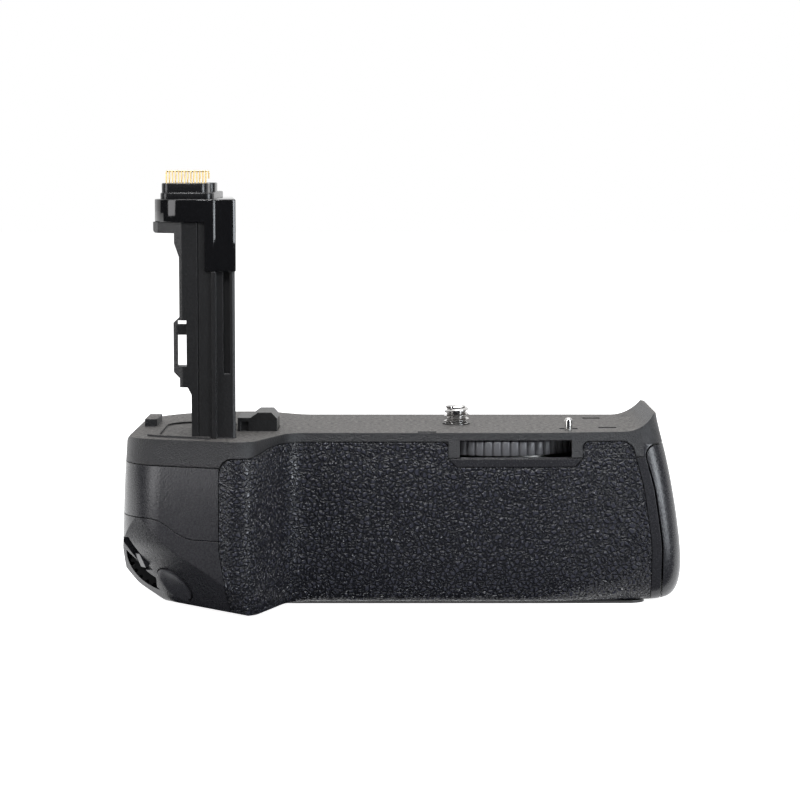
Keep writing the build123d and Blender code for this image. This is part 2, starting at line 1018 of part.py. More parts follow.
with BuildPart() as top_cover:
    add(body.part)
    add(cover_zone(0), mode=Mode.INTERSECT)
    add(hollow, mode=Mode.SUBTRACT)
    add(sump.part, mode=Mode.SUBTRACT)
    add(fence.part)
    add(stop.part)
    add(front_recess, mode=Mode.SUBTRACT)
    add(rear_recess, mode=Mode.SUBTRACT)
    add(block(slot_left, slot_right, -overrun, wheel_y, -overrun, -slot_top), mode=Mode.SUBTRACT)
    add(post(wheel_plane.offset(-slot_top), wheel_room_radius, -overrun), mode=Mode.SUBTRACT)
    add(stalk_hole.part, mode=Mode.SUBTRACT)
    add(post(at(0, 0, -overrun), thread_radius + screw_hole_gap, 2 * overrun), mode=Mode.SUBTRACT)
    add(post(at(pin_x, pin_y, -top_wall), pin_shank_radius, overrun), mode=Mode.SUBTRACT)
    add(post(at(pin_x, pin_y, -pin_recess_depth), pin_recess_radius, overrun), mode=Mode.SUBTRACT)
    add(door_pocket, mode=Mode.SUBTRACT)
    add(ridge_notch, mode=Mode.SUBTRACT)
    add(post(at(pin_x, pin_y, -top_wall), pin_head_radius, pin_head_height), mode=Mode.SUBTRACT)
    for x, y in carrier_screw_places:
        add(post(at(x, y, -top_wall), carrier_screw_radius, carrier_screw_bite), mode=Mode.SUBTRACT)
    for x, y in stalk_screw_places:
        add(post(at(x, y, -top_wall), stalk_screw_radius, stalk_screw_bite), mode=Mode.SUBTRACT)
    for x, y in slit_places:
        add(slab(at(x, y, -slit_depth), slit_length, slit_width, overrun), mode=Mode.SUBTRACT)

# Lower housing with the sleeve that guides the magazine
sleeve = block(
    -bay_left,
    tray_right,
    bay_front - bay_wall,
    bay_back + bay_wall,
    bay_bottom - bay_wall,
    bay_top + bay_wall,
)
sleeve_top = bay_top + bay_wall
base_screw_places = []
for x in (-base_screw_left, base_screw_right):
    for y in (-base_screw_front, base_screw_back):
        base_screw_places.append((x, y))
base_bottom = -sole_depth - plate_thickness

with BuildPart() as lower_housing:
    add(shell.part)
    add(shared(body.part, cap_zone(bulkhead)))
    add(shared(body.part, sleeve))
    for x in rib_places:
        add(shared(hollow, block(x, x + rib_thickness, -overrun, overrun, -overrun, sleeve_top)))
    add(cover_zone(0), mode=Mode.SUBTRACT)
    add(control_zone(0), mode=Mode.SUBTRACT)
    add(cap_zone(cap_seam), mode=Mode.SUBTRACT)
    add(bay, mode=Mode.SUBTRACT)
    for recess in (front_recess, rear_recess, panel_recess):
        add(recess, mode=Mode.SUBTRACT)
    add(shared(skin_layer, cover_zone(seam)), mode=Mode.SUBTRACT)
    add(shared(skin_layer, control_zone(seam)), mode=Mode.SUBTRACT)
    add(post(at(0, 0, base_bottom), socket_radius, -base_bottom - socket_top), mode=Mode.SUBTRACT)
    for x, y in base_screw_places:
        add(post(at(x, y, base_bottom), base_screw_radius, base_screw_length), mode=Mode.SUBTRACT)

# Control housing, with the rooms for the finger controls
cup_radius = button_room + cup_wall
dial_room_plane = dial_axis.offset(-dial_front - dial_room)
axle_start = -dial_front - dial_room - dial_wall
axle_seat = -dial_back - axle_head_sink - axle_head_height - running_gap
lever_floor_plane = lever_plane.offset(-lever_slot_depth - lever_floor)
lever_neck_slot = lever_neck_length + lever_travel + 2 * running_gap
lever_room_length = lever_foot_length + lever_travel + 2 * running_gap
lever_room_depth = lever_foot_height + 2 * running_gap
lever_pad_length = lever_slot_length + 2 * lever_floor
lever_pad_width = lever_slot_width + 2 * lever_floor

mouth_plane = dial_axis.offset(-dial_front - dial_mouth)
dial_mouth_room = shared(
    cleared(
        post(mouth_plane, dial_radius + dial_room, dial_mouth),
        post(mouth_plane, dial_mouth_bore, dial_mouth),
    ),
    block(-overrun, -dial_mouth_left, -overrun, 0, -overrun, -dial_mouth_top),
)

with BuildPart() as control_housing:
    add(shell.part)
    add(control_zone(0), mode=Mode.INTERSECT)
    add(shared(body.part, post(button_plane, cup_radius, -cup_depth - cup_floor)))
    add(
        shared(
            body.part,
            block(
                -dial_wall_left,
                -dial_wall_right,
                axle_start,
                axle_start + dial_wall,
                -dial_depth - dial_wall_half,
                -dial_depth + dial_wall_half,
            ),
        )
    )
    add(shared(body.part, slab(lever_floor_plane, lever_pad_length, lever_pad_width, overrun)))
    for x, z in post_places:
        foot = Plane((x, key_board_front, z), x_dir=(1, 0, 0), z_dir=(0, 1, 0))
        add(post(foot, key_post_radius, key_inner + key_post_root - key_board_front))
    add(post(button_plane.offset(overrun), button_hole, -overrun - cup_depth), mode=Mode.SUBTRACT)
    add(post(button_plane.offset(-lip_depth), button_room, lip_depth - cup_depth), mode=Mode.SUBTRACT)
    add(post(dial_room_plane, dial_radius + dial_room, dial_width + 2 * dial_room), mode=Mode.SUBTRACT)
    add(dial_mouth_room, mode=Mode.SUBTRACT)
    add(post(dial_axis.offset(axle_start), dial_axle_radius, dial_wall), mode=Mode.SUBTRACT)
    add(
        slab(lever_plane.offset(-lever_slot_depth), lever_slot_length, lever_slot_width, overrun),
        mode=Mode.SUBTRACT,
    )
    add(
        slab(lever_plane.offset(-overrun), lever_neck_slot, lever_neck_width + 2 * running_gap, overrun),
        mode=Mode.SUBTRACT,
    )
    add(
        slab(lever_floor_plane, lever_room_length, lever_foot_width + 2 * running_gap, -lever_room_depth),
        mode=Mode.SUBTRACT,
    )
    for x in key_places:
        hole = Plane((x, key_inner - skin, -key_depth), x_dir=(1, 0, 0), z_dir=(0, 1, 0))
        add(post(hole, key_radius + running_gap, overrun), mode=Mode.SUBTRACT)
        room = Plane((x, key_board_front, -key_depth), x_dir=(1, 0, 0), z_dir=(0, 1, 0))
        room_radius = key_radius + key_flange + running_gap
        add(post(room, room_radius, key_inner - key_board_front), mode=Mode.SUBTRACT)

# Base plate with its pad, screws and tripod socket
pad_corners = ((-pad_left, -pad_front), (pad_right, -pad_front), (pad_right, pad_back), (-pad_left, pad_back))
plate_corners = (
    (-plate_left, -plate_front),
    (plate_right, -plate_front),
    (plate_right, plate_back),
    (-plate_left, plate_back),
)
pad_room = rounded_plate(pad_corners, pad_corner, base_bottom, pad_thickness)
with BuildPart() as base_plate:
    add(rounded_plate(plate_corners, plate_corner, base_bottom, plate_thickness))
    add(pad_room, mode=Mode.SUBTRACT)
    add(post(at(0, 0, base_bottom), socket_radius, plate_thickness), mode=Mode.SUBTRACT)
    for x, y in base_screw_places:
        with BuildSketch(at(x, y, base_bottom)):
            Circle(base_screw_head)
        with BuildSketch(at(x, y, -sole_depth)):
            Circle(base_screw_radius)
        loft(mode=Mode.SUBTRACT)

with BuildPart() as base_pad:
    add(pad_room)
    hole = socket_flange_radius + pad_hole_gap
    add(post(at(0, 0, base_bottom), hole, plate_thickness), mode=Mode.SUBTRACT)

with BuildPart() as tripod_socket:
    add(post(at(0, 0, base_bottom), socket_radius, -base_bottom - socket_top))
    add(post(at(0, 0, base_bottom), socket_flange_radius, socket_flange_height))
    add(post(at(0, 0, base_bottom), socket_minor_radius, socket_depth), mode=Mode.SUBTRACT)

with BuildPart() as base_screws:
    for x, y in base_screw_places:
        with BuildSketch(at(x, y, base_bottom)):
            Circle(base_screw_head)
        with BuildSketch(at(x, y, -sole_depth)):
            Circle(base_screw_radius)
        loft()
        add(post(at(x, y, -sole_depth), base_screw_radius, base_screw_length - plate_thickness))
        add(post(at(x, y, base_bottom), drive_radius, drive_depth), mode=Mode.SUBTRACT)

# Stalk, cap, contact block and contacts
flange = block(
    -stalk_foot_left - flange_side,
    -stalk_right + flange_side,
    -stalk_front - flange_end,
    stalk_back + flange_end,
    flange_low,
    -top_wall,
)
cap_foot = stalk_top - cap_skirt_depth
cap_top_level = stalk_top + cap_height
with BuildPart() as stalk_body:
    add(prism(stalk_profile, (0, 0, 0, lip_corner, *stalk_square), stalk_front, stalk_back))
    add(stalk_column.part, mode=Mode.INTERSECT)
    add(shared(flange, hollow))
    recess_left = -ridge_left + ridge_width
    recess_back = -stalk_front + ridge_rise
    add(block(recess_left, 0, -overrun, recess_back, 0, cap_foot), mode=Mode.SUBTRACT)
    add(block(-ridge_left, recess_left, -stalk_front - ridge_rise, -stalk_front, 0, cap_foot))
    channel_back = recess_back + channel_depth
    add(
        block(-channel_left, -channel_right, -overrun, channel_back, channel_foot, cap_foot),
        mode=Mode.SUBTRACT,
    )
    line_back = -stalk_front + groove_line_width
    add(
        block(-groove_line, -groove_line + groove_line_width, -overrun, line_back, 0, stalk_top),
        mode=Mode.SUBTRACT,
    )
    add(
        block(-window_left, -window_right, -overrun, overrun, window_low, window_high),
        mode=Mode.SUBTRACT,
    )
    add(block(-window_left, -window_right, -bar_front, -bar_back, bar_low, bar_high))
    add(
        block(-overrun, -stalk_foot_left, -fin_back, overrun, stalk_foot_height, fin_top),
        mode=Mode.SUBTRACT,
    )
    add(
        block(
            -stalk_foot_left + cavity_wall,
            -core_right,
            -stalk_front + cavity_wall + channel_depth,
            stalk_back - cavity_wall,
            -overrun,
            stalk_top,
        ),
        mode=Mode.SUBTRACT,
    )
    for x, y in stalk_screw_places:
        add(post(at(x, y, flange_low), stalk_screw_radius, flange_thickness), mode=Mode.SUBTRACT)

cap_back = stalk_back + cap_skin
cap_plan = (
    *cap_facets,
    (-cap_edge, -stalk_front - cap_skin),
    *cap_points,
    (-cap_right_back, cap_back),
    (-cap_left, cap_back),
)
with BuildPart() as cap_skirt:
    with BuildSketch(Plane.XY.offset(cap_foot)):
        with BuildLine():
            Polyline(*cap_plan, close=True)
        make_face()
    extrude(amount=cap_skirt_depth)
    add(block(-overrun, -cap_skirt_left, -overrun, overrun, -overrun, overrun), mode=Mode.SUBTRACT)
    add(stalk_column.part, mode=Mode.SUBTRACT)

with BuildPart() as stalk_cap:
    with BuildSketch(Plane.XY.offset(stalk_top)):
        with BuildLine():
            Polyline(*cap_plan, close=True)
        make_face()
    extrude(amount=cap_height)
    add(cap_skirt.part)
    add(
        block(
            -lip_left + core_inset,
            -core_right,
            -stalk_front + core_inset,
            stalk_back - core_inset,
            stalk_top,
            core_top,
        ),
        mode=Mode.SUBTRACT,
    )

contact_top = cap_top_level + block_height
contact_pitch = (contact_left - contact_right) / (contact_count - 1)
with BuildPart() as contact_pins:
    for row in (contact_row_front, contact_row_back):
        for index in range(contact_count):
            x = -contact_left + index * contact_pitch
            low = contact_top - contact_sink
            high = contact_top + contact_rise
            add(block(x, x + contact_width, -row, -row + contact_width, low, high))
            add(block(x, x + contact_hook, -row, -row + contact_width, high - contact_width, high))

with BuildPart() as connector_block:
    step_top = cap_top_level + block_step
    add(block(-block_left, -block_right, -block_front, block_back, cap_top_level, step_top))
    add(block(-upper_left, -upper_right, -upper_front, -upper_back, step_top, contact_top))
    add(block(-rear_left, -rear_right, -upper_back, -rear_back, step_top, contact_top))
    add(contact_pins.part, mode=Mode.SUBTRACT)

with BuildPart() as stalk_screws:
    for x, y in stalk_screw_places:
        length = flange_thickness + stalk_screw_bite
        add(post(at(x, y, flange_low), stalk_screw_radius, length))
        add(post(at(x, y, flange_low), stalk_screw_head, -stalk_screw_height))
        add(post(at(x, y, flange_low - stalk_screw_height), drive_radius, drive_depth), mode=Mode.SUBTRACT)

# Raised block beside the stalk
door_outline = ((door_left, -door_sink), *door_profile, (door_end, -door_sink))
with BuildPart() as door_block:
    add(prism(door_outline, [0] * len(door_outline), door_front, door_back))
    add(
        block(-door_pit_left, -door_pit_right, -overrun, -door_front + door_pit, 0, door_pit_top),
        mode=Mode.SUBTRACT,
    )

# Attachment screw with its pinion and clip
clip_top = bush_bottom - running_gap
journal_bottom = clip_top - clip_thickness - journal_foot
with BuildPart() as attachment_screw:
    add(post(at(0, 0, -thread_foot), neck_radius, thread_foot + neck_top))
    add(post(at(0, 0, neck_top), thread_radius, screw_rise - screw_tip - neck_top))
    with BuildSketch(at(0, 0, screw_rise - screw_tip)):
        Circle(thread_radius)
    with BuildSketch(at(0, 0, screw_rise)):
        Circle(thread_radius - screw_tip)
    loft()
    add(post(at(0, 0, -thread_foot), journal_radius, journal_bottom + thread_foot))
    slot = at(0, 0, screw_rise - screw_slot_depth)
    add(slab(slot, 2 * thread_radius, screw_slot_width, overrun), mode=Mode.SUBTRACT)

mesh_turn = wheel_turn + 180
pinion_turn = mesh_turn + 180 / pinion_teeth
pinion_points = gear_points(pinion_teeth, pinion_root, pinion_tip, tooth_shares, pinion_turn)
with BuildPart() as screw_pinion:
    add(toothed(at(0, 0, -wheel_bottom), pinion_points, wheel_bottom - wheel_top))
    add(post(at(0, 0, -wheel_bottom), journal_radius, overrun), mode=Mode.SUBTRACT)

with BuildPart() as screw_clip:
    add(post(at(0, 0, clip_top), clip_radius, -clip_thickness))
    add(post(at(0, 0, clip_top), journal_radius, -clip_thickness), mode=Mode.SUBTRACT)

# Thumbwheel, its inner gear and the plate that carries both
wheel_foot = wheel_plane.offset(-wheel_bottom)
rib_points = gear_points(rib_count, wheel_radius - rib_depth, wheel_radius, rib_shares)
with BuildPart() as thumbwheel_tyre:
    add(toothed(wheel_foot, rib_points, wheel_bottom - wheel_top))
    add(post(wheel_foot, tyre_inner, overrun), mode=Mode.SUBTRACT)

ring_points = gear_points(ring_teeth, ring_root, ring_tip, tooth_shares, mesh_turn)
with BuildPart() as wheel_ring_gear:
    add(post(wheel_foot, tyre_inner, wheel_bottom - wheel_top))
    add(toothed(wheel_foot, ring_points, wheel_bottom - wheel_top), mode=Mode.SUBTRACT)

with BuildPart() as wheel_carrier:
    add(post(wheel_plane.offset(plate_bottom), carrier_radius, carrier_thickness))
    add(post(wheel_plane.offset(plate_top), boss_radius, -top_wall - plate_top))
    add(post(at(0, 0, plate_bottom), bush_radius, -bush_depth))
    add(post(at(0, 0, plate_top), pinion_tip + running_gap, overrun), mode=Mode.SUBTRACT)
    add(post(at(0, 0, -overrun), journal_radius + shaft_gap, 2 * overrun), mode=Mode.SUBTRACT)
    for x, y in carrier_screw_places:
        add(post(at(x, y, -overrun), carrier_screw_radius, 2 * overrun), mode=Mode.SUBTRACT)

with BuildPart() as carrier_screws:
    for x, y in carrier_screw_places:
        length = carrier_screw_bite - top_wall - plate_bottom
        add(post(at(x, y, plate_bottom), carrier_screw_radius, length))
        add(post(at(x, y, plate_bottom), carrier_head_radius, -carrier_head_height))
        head = at(x, y, plate_bottom - carrier_head_height)
        add(post(head, drive_radius, drive_depth), mode=Mode.SUBTRACT)

with BuildPart() as locating_pin:
    add(post(at(pin_x, pin_y, neck_top), pin_radius, pin_rise - neck_top))
    fillet(locating_pin.edges().sort_by(Axis.Z)[-1], pin_radius / 2)
    add(post(at(pin_x, pin_y, -top_wall), pin_shank_radius, top_wall + neck_top))
    add(post(at(pin_x, pin_y, -top_wall), pin_head_radius, pin_head_height))

# Shutter button and its switch
with BuildPart() as shutter_button:
    add(post(button_plane.offset(-button_foot), button_radius, button_foot + button_proud))
    flange_radius = button_radius + button_flange
    add(post(button_plane.offset(-button_foot), flange_radius, button_flange_height))
    dish_round = (button_dish_radius**2 + button_dish**2) / (2 * button_dish)
    dish_middle = button_plane.offset(button_proud - button_dish + dish_round)
    with Locations(dish_middle):
        Sphere(dish_round, mode=Mode.SUBTRACT)

with BuildPart() as shutter_switch:
    add(slab(button_plane.offset(-cup_depth), switch_size, switch_size, switch_height))

# Main dial on its fixed axle
with BuildPart() as main_dial:
    dial_points = gear_points(dial_teeth, dial_radius - dial_tooth_depth, dial_radius, dial_shares)
    add(toothed(dial_plane, dial_points, dial_width))
    add(post(dial_plane, dial_axle_radius + shaft_gap, dial_width), mode=Mode.SUBTRACT)
    recess = dial_axis.offset(axle_seat)
    add(post(recess, axle_head_radius + running_gap, overrun), mode=Mode.SUBTRACT)

with BuildPart() as dial_axle:
    axle_head = axle_seat + running_gap
    add(post(dial_axis.offset(axle_start), dial_axle_radius, axle_head - axle_start))
    add(post(dial_axis.offset(axle_head), axle_head_radius, axle_head_height))

# Power switch, at the lower end of its slot
lever_foot_top = lever_slot_depth + lever_floor + running_gap
lever_start = lever_travel / 2
with BuildPart() as power_switch:
    with Locations(lever_plane.offset(-lever_foot_top)):
        with Locations((lever_start, 0, 0)):
            neck = lever_foot_top + lever_proud
            down = (Align.CENTER, Align.CENTER, Align.MAX)
            up = (Align.CENTER, Align.CENTER, Align.MIN)
            Box(lever_foot_length, lever_foot_width, lever_foot_height, align=down)
            Box(lever_neck_length, lever_neck_width, neck, align=up)
    with Locations(lever_plane.offset(lever_proud)):
        with Locations((lever_start, 0, 0)):
            height = lever_slot_depth - running_gap + lever_proud
            Box(lever_length, lever_width, height, align=down)

# Buttons at the back with their board and switches
rear_keys = []
for x in key_places:
    with BuildPart() as rear_key:
        foot = Plane((x, key_foot, -key_depth), x_dir=(1, 0, 0), z_dir=(0, 1, 0))
        add(post(foot, key_radius, key_surface + key_proud - key_foot))
        add(post(foot, key_radius + key_flange, key_flange_height))
    rear_keys.append(rear_key.part)

key_board = block(
    -key_board_left,
    -key_board_right,
    key_board_front - board_thickness,
    key_board_front,
    -key_depth - key_board_half,
    -key_depth + key_board_half,
)
with BuildPart() as key_switches:
    for x in key_places:
        foot = Plane((x, key_board_front, -key_depth), x_dir=(1, 0, 0), z_dir=(0, 1, 0))
        add(slab(foot, key_switch_size, key_switch_size, key_switch_height))

# Magazine for the two cells
tray_y = (pocket_front + pocket_back) / 2
catch_slot_low = -tray_top - catch_height - running_gap
catch_slot_high = -tray_bottom + catch_height + running_gap
catch_half = catch_width / 2 + running_gap
with BuildPart() as magazine_frame:
    add(block(tray_left, tray_right, -tray_front, -tray_back, -tray_bottom, -tray_top))
    pocket_floor = -tray_bottom + tray_floor
    add(
        block(far_pocket_left, far_pocket_right, pocket_front, pocket_back, pocket_floor, overrun),
        mode=Mode.SUBTRACT,
    )
    pocket_roof = -tray_top - tray_floor
    add(
        block(pocket_middle, pocket_right, pocket_front, pocket_back, -overrun, pocket_roof),
        mode=Mode.SUBTRACT,
    )
    for start in (far_pocket_left, pocket_middle):
        middle = start + pocket_length / 2
        add(post(at(middle, tray_y, -overrun), tray_window, 2 * overrun), mode=Mode.SUBTRACT)
    add(
        block(
            far_pocket_left - catch_slot,
            far_pocket_left,
            tray_y - catch_half,
            tray_y + catch_half,
            catch_slot_low,
            overrun,
        ),
        mode=Mode.SUBTRACT,
    )
    add(
        block(
            pocket_middle - catch_slot,
            pocket_middle,
            tray_y - catch_half,
            tray_y + catch_half,
            -overrun,
            catch_slot_high,
        ),
        mode=Mode.SUBTRACT,
    )


def catch_at(start, low, nose_low):
    """Catch that lies in a slot, with its nose over the end of a cell."""
    front = tray_y - catch_width / 2
    back = tray_y + catch_width / 2
    face = start - catch_set
    plate = block(face - catch_thickness, face, front, back, low, low + catch_height)
    nose = block(face, face + catch_nose, front, back, nose_low, nose_low + catch_nose_height)
    return joined(plate, nose)


upper_catch = catch_at(far_pocket_left, -tray_top - catch_height, -tray_top - catch_nose_height)
lower_catch = catch_at(pocket_middle, -tray_bottom, -tray_bottom)

contact_low = -knob_depth - blade_height / 2
contact_high = contact_low + blade_height
with BuildPart() as magazine_contacts:
    for index in range(blade_count):
        y = tray_y + (index - (blade_count - 1) / 2) * blade_pitch - blade_width / 2
        for x in (far_pocket_right, pocket_right):
            add(block(x - blade_thickness, x, y, y + blade_width, contact_low, contact_high))
        add(block(tray_left - contact_pad, tray_left, y, y + blade_width, contact_low, contact_high))

knob_plane = Plane((0, knob_y, -knob_depth), x_dir=(0, 1, 0), z_dir=(1, 0, 0))
with BuildPart() as magazine_end_cap:
    add(cap_zone(0))
    add(block(tray_right, knob_floor, -tray_front, -tray_back, -tray_bottom, -tray_top))
    add(body.part, mode=Mode.INTERSECT)
    add(block(0, tray_right, -tray_front, -tray_back, -tray_bottom, -tray_top), mode=Mode.SUBTRACT)
    add(post(knob_plane.offset(knob_floor), knob_radius + running_gap, overrun), mode=Mode.SUBTRACT)
    cam_room = cam_room_end - tray_right
    add(post(knob_plane.offset(tray_right), cam_radius + running_gap, cam_room), mode=Mode.SUBTRACT)
    add(post(knob_plane, knob_shaft_radius + shaft_gap, overrun), mode=Mode.SUBTRACT)

knob_disc = knob_floor + running_gap
with BuildPart() as lock_knob:
    add(post(knob_plane.offset(cam_start), knob_shaft_radius, knob_disc - cam_start))
    add(post(knob_plane.offset(knob_disc), knob_radius, knob_thickness))
    bar_foot = knob_plane.offset(knob_disc + knob_thickness)
    add(slab(bar_foot, 2 * knob_radius, knob_bar_width, knob_bar_top - knob_disc - knob_thickness))
    add(post(knob_plane, knob_radius, overrun), mode=Mode.INTERSECT)

with BuildPart() as lock_cam:
    add(post(knob_plane.offset(cam_start), cam_radius, cam_thickness))
    add(post(knob_plane.offset(cam_start), knob_shaft_radius, cam_thickness), mode=Mode.SUBTRACT)
    add(block(-overrun, overrun, knob_y + cam_flat, overrun, -overrun, overrun), mode=Mode.SUBTRACT)

# Boards, flat cable and the contacts at the bay's inner end
board_foot = sleeve_top
board_top = board_foot + board_thickness
power_board = block(-board_left, board_right, -board_front, board_back, board_foot, board_top)
with BuildPart() as board_chips:
    for index in range(chip_count):
        x = chip_first + index * chip_pitch
        add(slab(at(x, chip_y, board_top), chip_size, chip_size, chip_height))

with BuildPart() as ribbon_cable:
    left = cable_x - cable_thickness / 2
    front = cable_y - cable_width / 2
    back = cable_y + cable_width / 2
    add(block(left, left + cable_thickness, front, back, board_top, cable_top))
    add(block(left, cable_end, front, back, board_top, board_top + cable_thickness))

contact_block = shared(
    hollow,
    block(
        -overrun,
        -contact_block_right,
        tray_y - contact_block_half,
        tray_y + contact_block_half,
        -contact_block_low,
        -contact_block_high,
    ),
)
blade_right = tray_left - contact_pad - running_gap
with BuildPart() as bay_blades:
    for index in range(blade_count):
        y = tray_y + (index - (blade_count - 1) / 2) * blade_pitch - blade_width / 2
        add(block(-contact_block_right, blade_right, y, y + blade_width, contact_low, contact_high))

# One file for each node
nodes = {
    "top_cover": top_cover.part,
    "lower_housing": lower_housing.part,
    "control_housing": control_housing.part,
    "front_grip_skin": front_skin,
    "rear_grip_skin": rear_skin,
    "side_panel": side_skin,
    "base_plate": base_plate.part,
    "base_pad": base_pad.part,
    "base_screws": base_screws.part,
    "tripod_socket": tripod_socket.part,
    "stalk_body": stalk_body.part,
    "stalk_cap": stalk_cap.part,
    "stalk_screws": stalk_screws.part,
    "connector_block": connector_block.part,
    "contact_pins": contact_pins.part,
    "door_block": door_block.part,
    "attachment_screw": attachment_screw.part,
    "screw_pinion": screw_pinion.part,
    "screw_clip": screw_clip.part,
    "thumbwheel_tyre": thumbwheel_tyre.part,
    "wheel_ring_gear": wheel_ring_gear.part,
    "wheel_carrier": wheel_carrier.part,
    "carrier_screws": carrier_screws.part,
    "locating_pin": locating_pin.part,
    "shutter_button": shutter_button.part,
    "shutter_switch": shutter_switch.part,
    "main_dial": main_dial.part,
    "dial_axle": dial_axle.part,
    "power_switch": power_switch.part,
    "key_board": key_board,
    "key_switches": key_switches.part,
    "magazine_frame": magazine_frame.part,
    "magazine_end_cap": magazine_end_cap.part,
    "magazine_contacts": magazine_contacts.part,
    "upper_cell_catch": upper_catch,
    "lower_cell_catch": lower_catch,
    "lock_knob": lock_knob.part,
    "lock_cam": lock_cam.part,
    "power_board": power_board,
    "board_chips": board_chips.part,
    "ribbon_cable": ribbon_cable.part,
    "contact_block": contact_block,
    "bay_blades": bay_blades.part,
}
nodes.update(zip(key_names, rear_keys))

for name, solid in nodes.items():
    solid.label = name
    export_step(solid, f"parts/{name}.step")
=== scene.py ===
"""Battery grip for a camera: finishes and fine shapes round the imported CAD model."""
import bmesh
import bpy
from math import atan2, cos, floor, hypot, pi, radians, sin
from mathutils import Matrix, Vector


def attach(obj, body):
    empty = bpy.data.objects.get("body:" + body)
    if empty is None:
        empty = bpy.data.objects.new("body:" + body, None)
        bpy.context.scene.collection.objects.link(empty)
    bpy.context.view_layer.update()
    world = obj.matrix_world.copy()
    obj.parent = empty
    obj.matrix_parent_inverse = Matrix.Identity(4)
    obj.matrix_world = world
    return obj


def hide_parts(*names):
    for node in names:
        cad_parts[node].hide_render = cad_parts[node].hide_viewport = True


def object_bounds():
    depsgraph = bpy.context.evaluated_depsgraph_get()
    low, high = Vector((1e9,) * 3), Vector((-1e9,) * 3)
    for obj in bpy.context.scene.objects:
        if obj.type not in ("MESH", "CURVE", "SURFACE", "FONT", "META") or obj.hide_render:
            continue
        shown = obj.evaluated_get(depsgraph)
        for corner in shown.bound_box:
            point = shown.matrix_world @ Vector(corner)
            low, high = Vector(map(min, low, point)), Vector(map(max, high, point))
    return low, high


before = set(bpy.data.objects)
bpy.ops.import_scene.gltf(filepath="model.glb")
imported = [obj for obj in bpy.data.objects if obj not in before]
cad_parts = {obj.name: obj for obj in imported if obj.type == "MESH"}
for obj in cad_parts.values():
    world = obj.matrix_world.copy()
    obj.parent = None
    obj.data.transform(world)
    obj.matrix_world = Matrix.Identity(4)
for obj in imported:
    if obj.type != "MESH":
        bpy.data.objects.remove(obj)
cad_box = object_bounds()

# Studio. A long lens looks slightly down on the front of the grip. Two tall
# softboxes stand at its sides, one hangs overhead and one above the camera.
sensor_width = 36
focal_length = 115.66
camera_place = (-0.01427, -0.64803, 0.06798)
camera_tilt = radians(84.54)
scene = bpy.context.scene
scene.view_settings.view_transform = "Standard"
lens = bpy.data.cameras.new("camera")
lens.sensor_width = sensor_width
lens.lens = focal_length
camera = bpy.data.objects.new("camera", lens)
camera.location = camera_place
camera.rotation_euler = (camera_tilt, 0, 0)
scene.collection.objects.link(camera)
scene.camera = camera


def node(tree, kind, inputs=None, **settings):
    """Adds a shader node, and links or sets its inputs."""
    made = tree.nodes.new("ShaderNode" + kind)
    for key, value in settings.items():
        setattr(made, key, value)
    for key, value in (inputs or {}).items():
        if isinstance(value, bpy.types.NodeSocket):
            tree.links.new(value, made.inputs[key])
        else:
            made.inputs[key].default_value = value
    return made


def seen_directly(tree):
    """1 for a ray from the camera, or from a reflection or glass, and else 0."""
    path = node(tree, "LightPath")
    seen = node(tree, "Math", {0: path.outputs["Is Camera Ray"], 1: path.outputs["Is Glossy Ray"]},
                operation="ADD", use_clamp=True)
    return node(tree, "Math", {0: seen.outputs[0], 1: path.outputs["Is Transmission Ray"]},
                operation="ADD", use_clamp=True).outputs[0]


# The room is white to the camera and in reflections, and dim for everything else
room_light = 0.26
room = bpy.data.worlds.new("room")
room.use_nodes = True
scene.world = room
tree = room.node_tree
backdrop = tree.nodes["Background"]
backdrop.inputs["Color"].default_value = (1, 1, 1, 1)
level = node(tree, "MapRange", {"Value": seen_directly(tree), "To Min": room_light, "To Max": 1})
tree.links.new(level.outputs[0], backdrop.inputs["Strength"])

floor_level = cad_box[0].z
floor_half = 3.0
paper_white = (0.8, 0.8, 0.8, 1)
paper_glow = 0.93
paper = bmesh.new()
bmesh.ops.create_grid(paper, x_segments=1, y_segments=1, size=floor_half)
bmesh.ops.translate(paper, vec=(0, 0, floor_level), verts=paper.verts)
paper_mesh = bpy.data.meshes.new("paper_floor")
paper.to_mesh(paper_mesh)
paper_floor = bpy.data.objects.new("paper_floor", paper_mesh)
scene.collection.objects.link(paper_floor)
white_paper = bpy.data.materials.new("white_paper")
white_paper.use_nodes = True
tree = white_paper.node_tree
tree.nodes.remove(tree.nodes["Principled BSDF"])
lit = node(tree, "BsdfDiffuse", {"Color": paper_white})
glow = node(tree, "Emission", {"Strength": paper_glow})
both = node(tree, "AddShader", {0: lit.outputs[0], 1: glow.outputs[0]})
mixed = node(tree, "MixShader", {0: seen_directly(tree), 1: lit.outputs[0], 2: both.outputs[0]})
tree.links.new(mixed.outputs[0], tree.nodes["Material Output"].inputs["Surface"])
paper_mesh.materials.append(white_paper)

# Dark cloth round the camera's side of the room and on the floor there, which
# only reflections see
flag_radius = 1.7
flag_half_turn = radians(104)
flag_height = 2.4
flag_steps = 24
cloth_colour = (0.022, 0.023, 0.028, 1)
card_back = -0.0215
card_lift = 0.0004
flag = bmesh.new()
flag_foot = flag.verts.new((-flag_radius * sin(flag_half_turn), -flag_radius * cos(flag_half_turn),
                            floor_level))
bmesh.ops.spin(flag, geom=[flag_foot], axis=(0, 0, 1), cent=(0, 0, 0), angle=2 * flag_half_turn,
               steps=flag_steps, use_duplicate=False)
raised = bmesh.ops.extrude_edge_only(flag, edges=flag.edges[:])
bmesh.ops.translate(flag, vec=(0, 0, flag_height),
                    verts=[part for part in raised["geom"] if isinstance(part, bmesh.types.BMVert)])
flag_mesh = bpy.data.meshes.new("dark_flag")
flag.to_mesh(flag_mesh)
dark_flag = bpy.data.objects.new("dark_flag", flag_mesh)
scene.collection.objects.link(dark_flag)
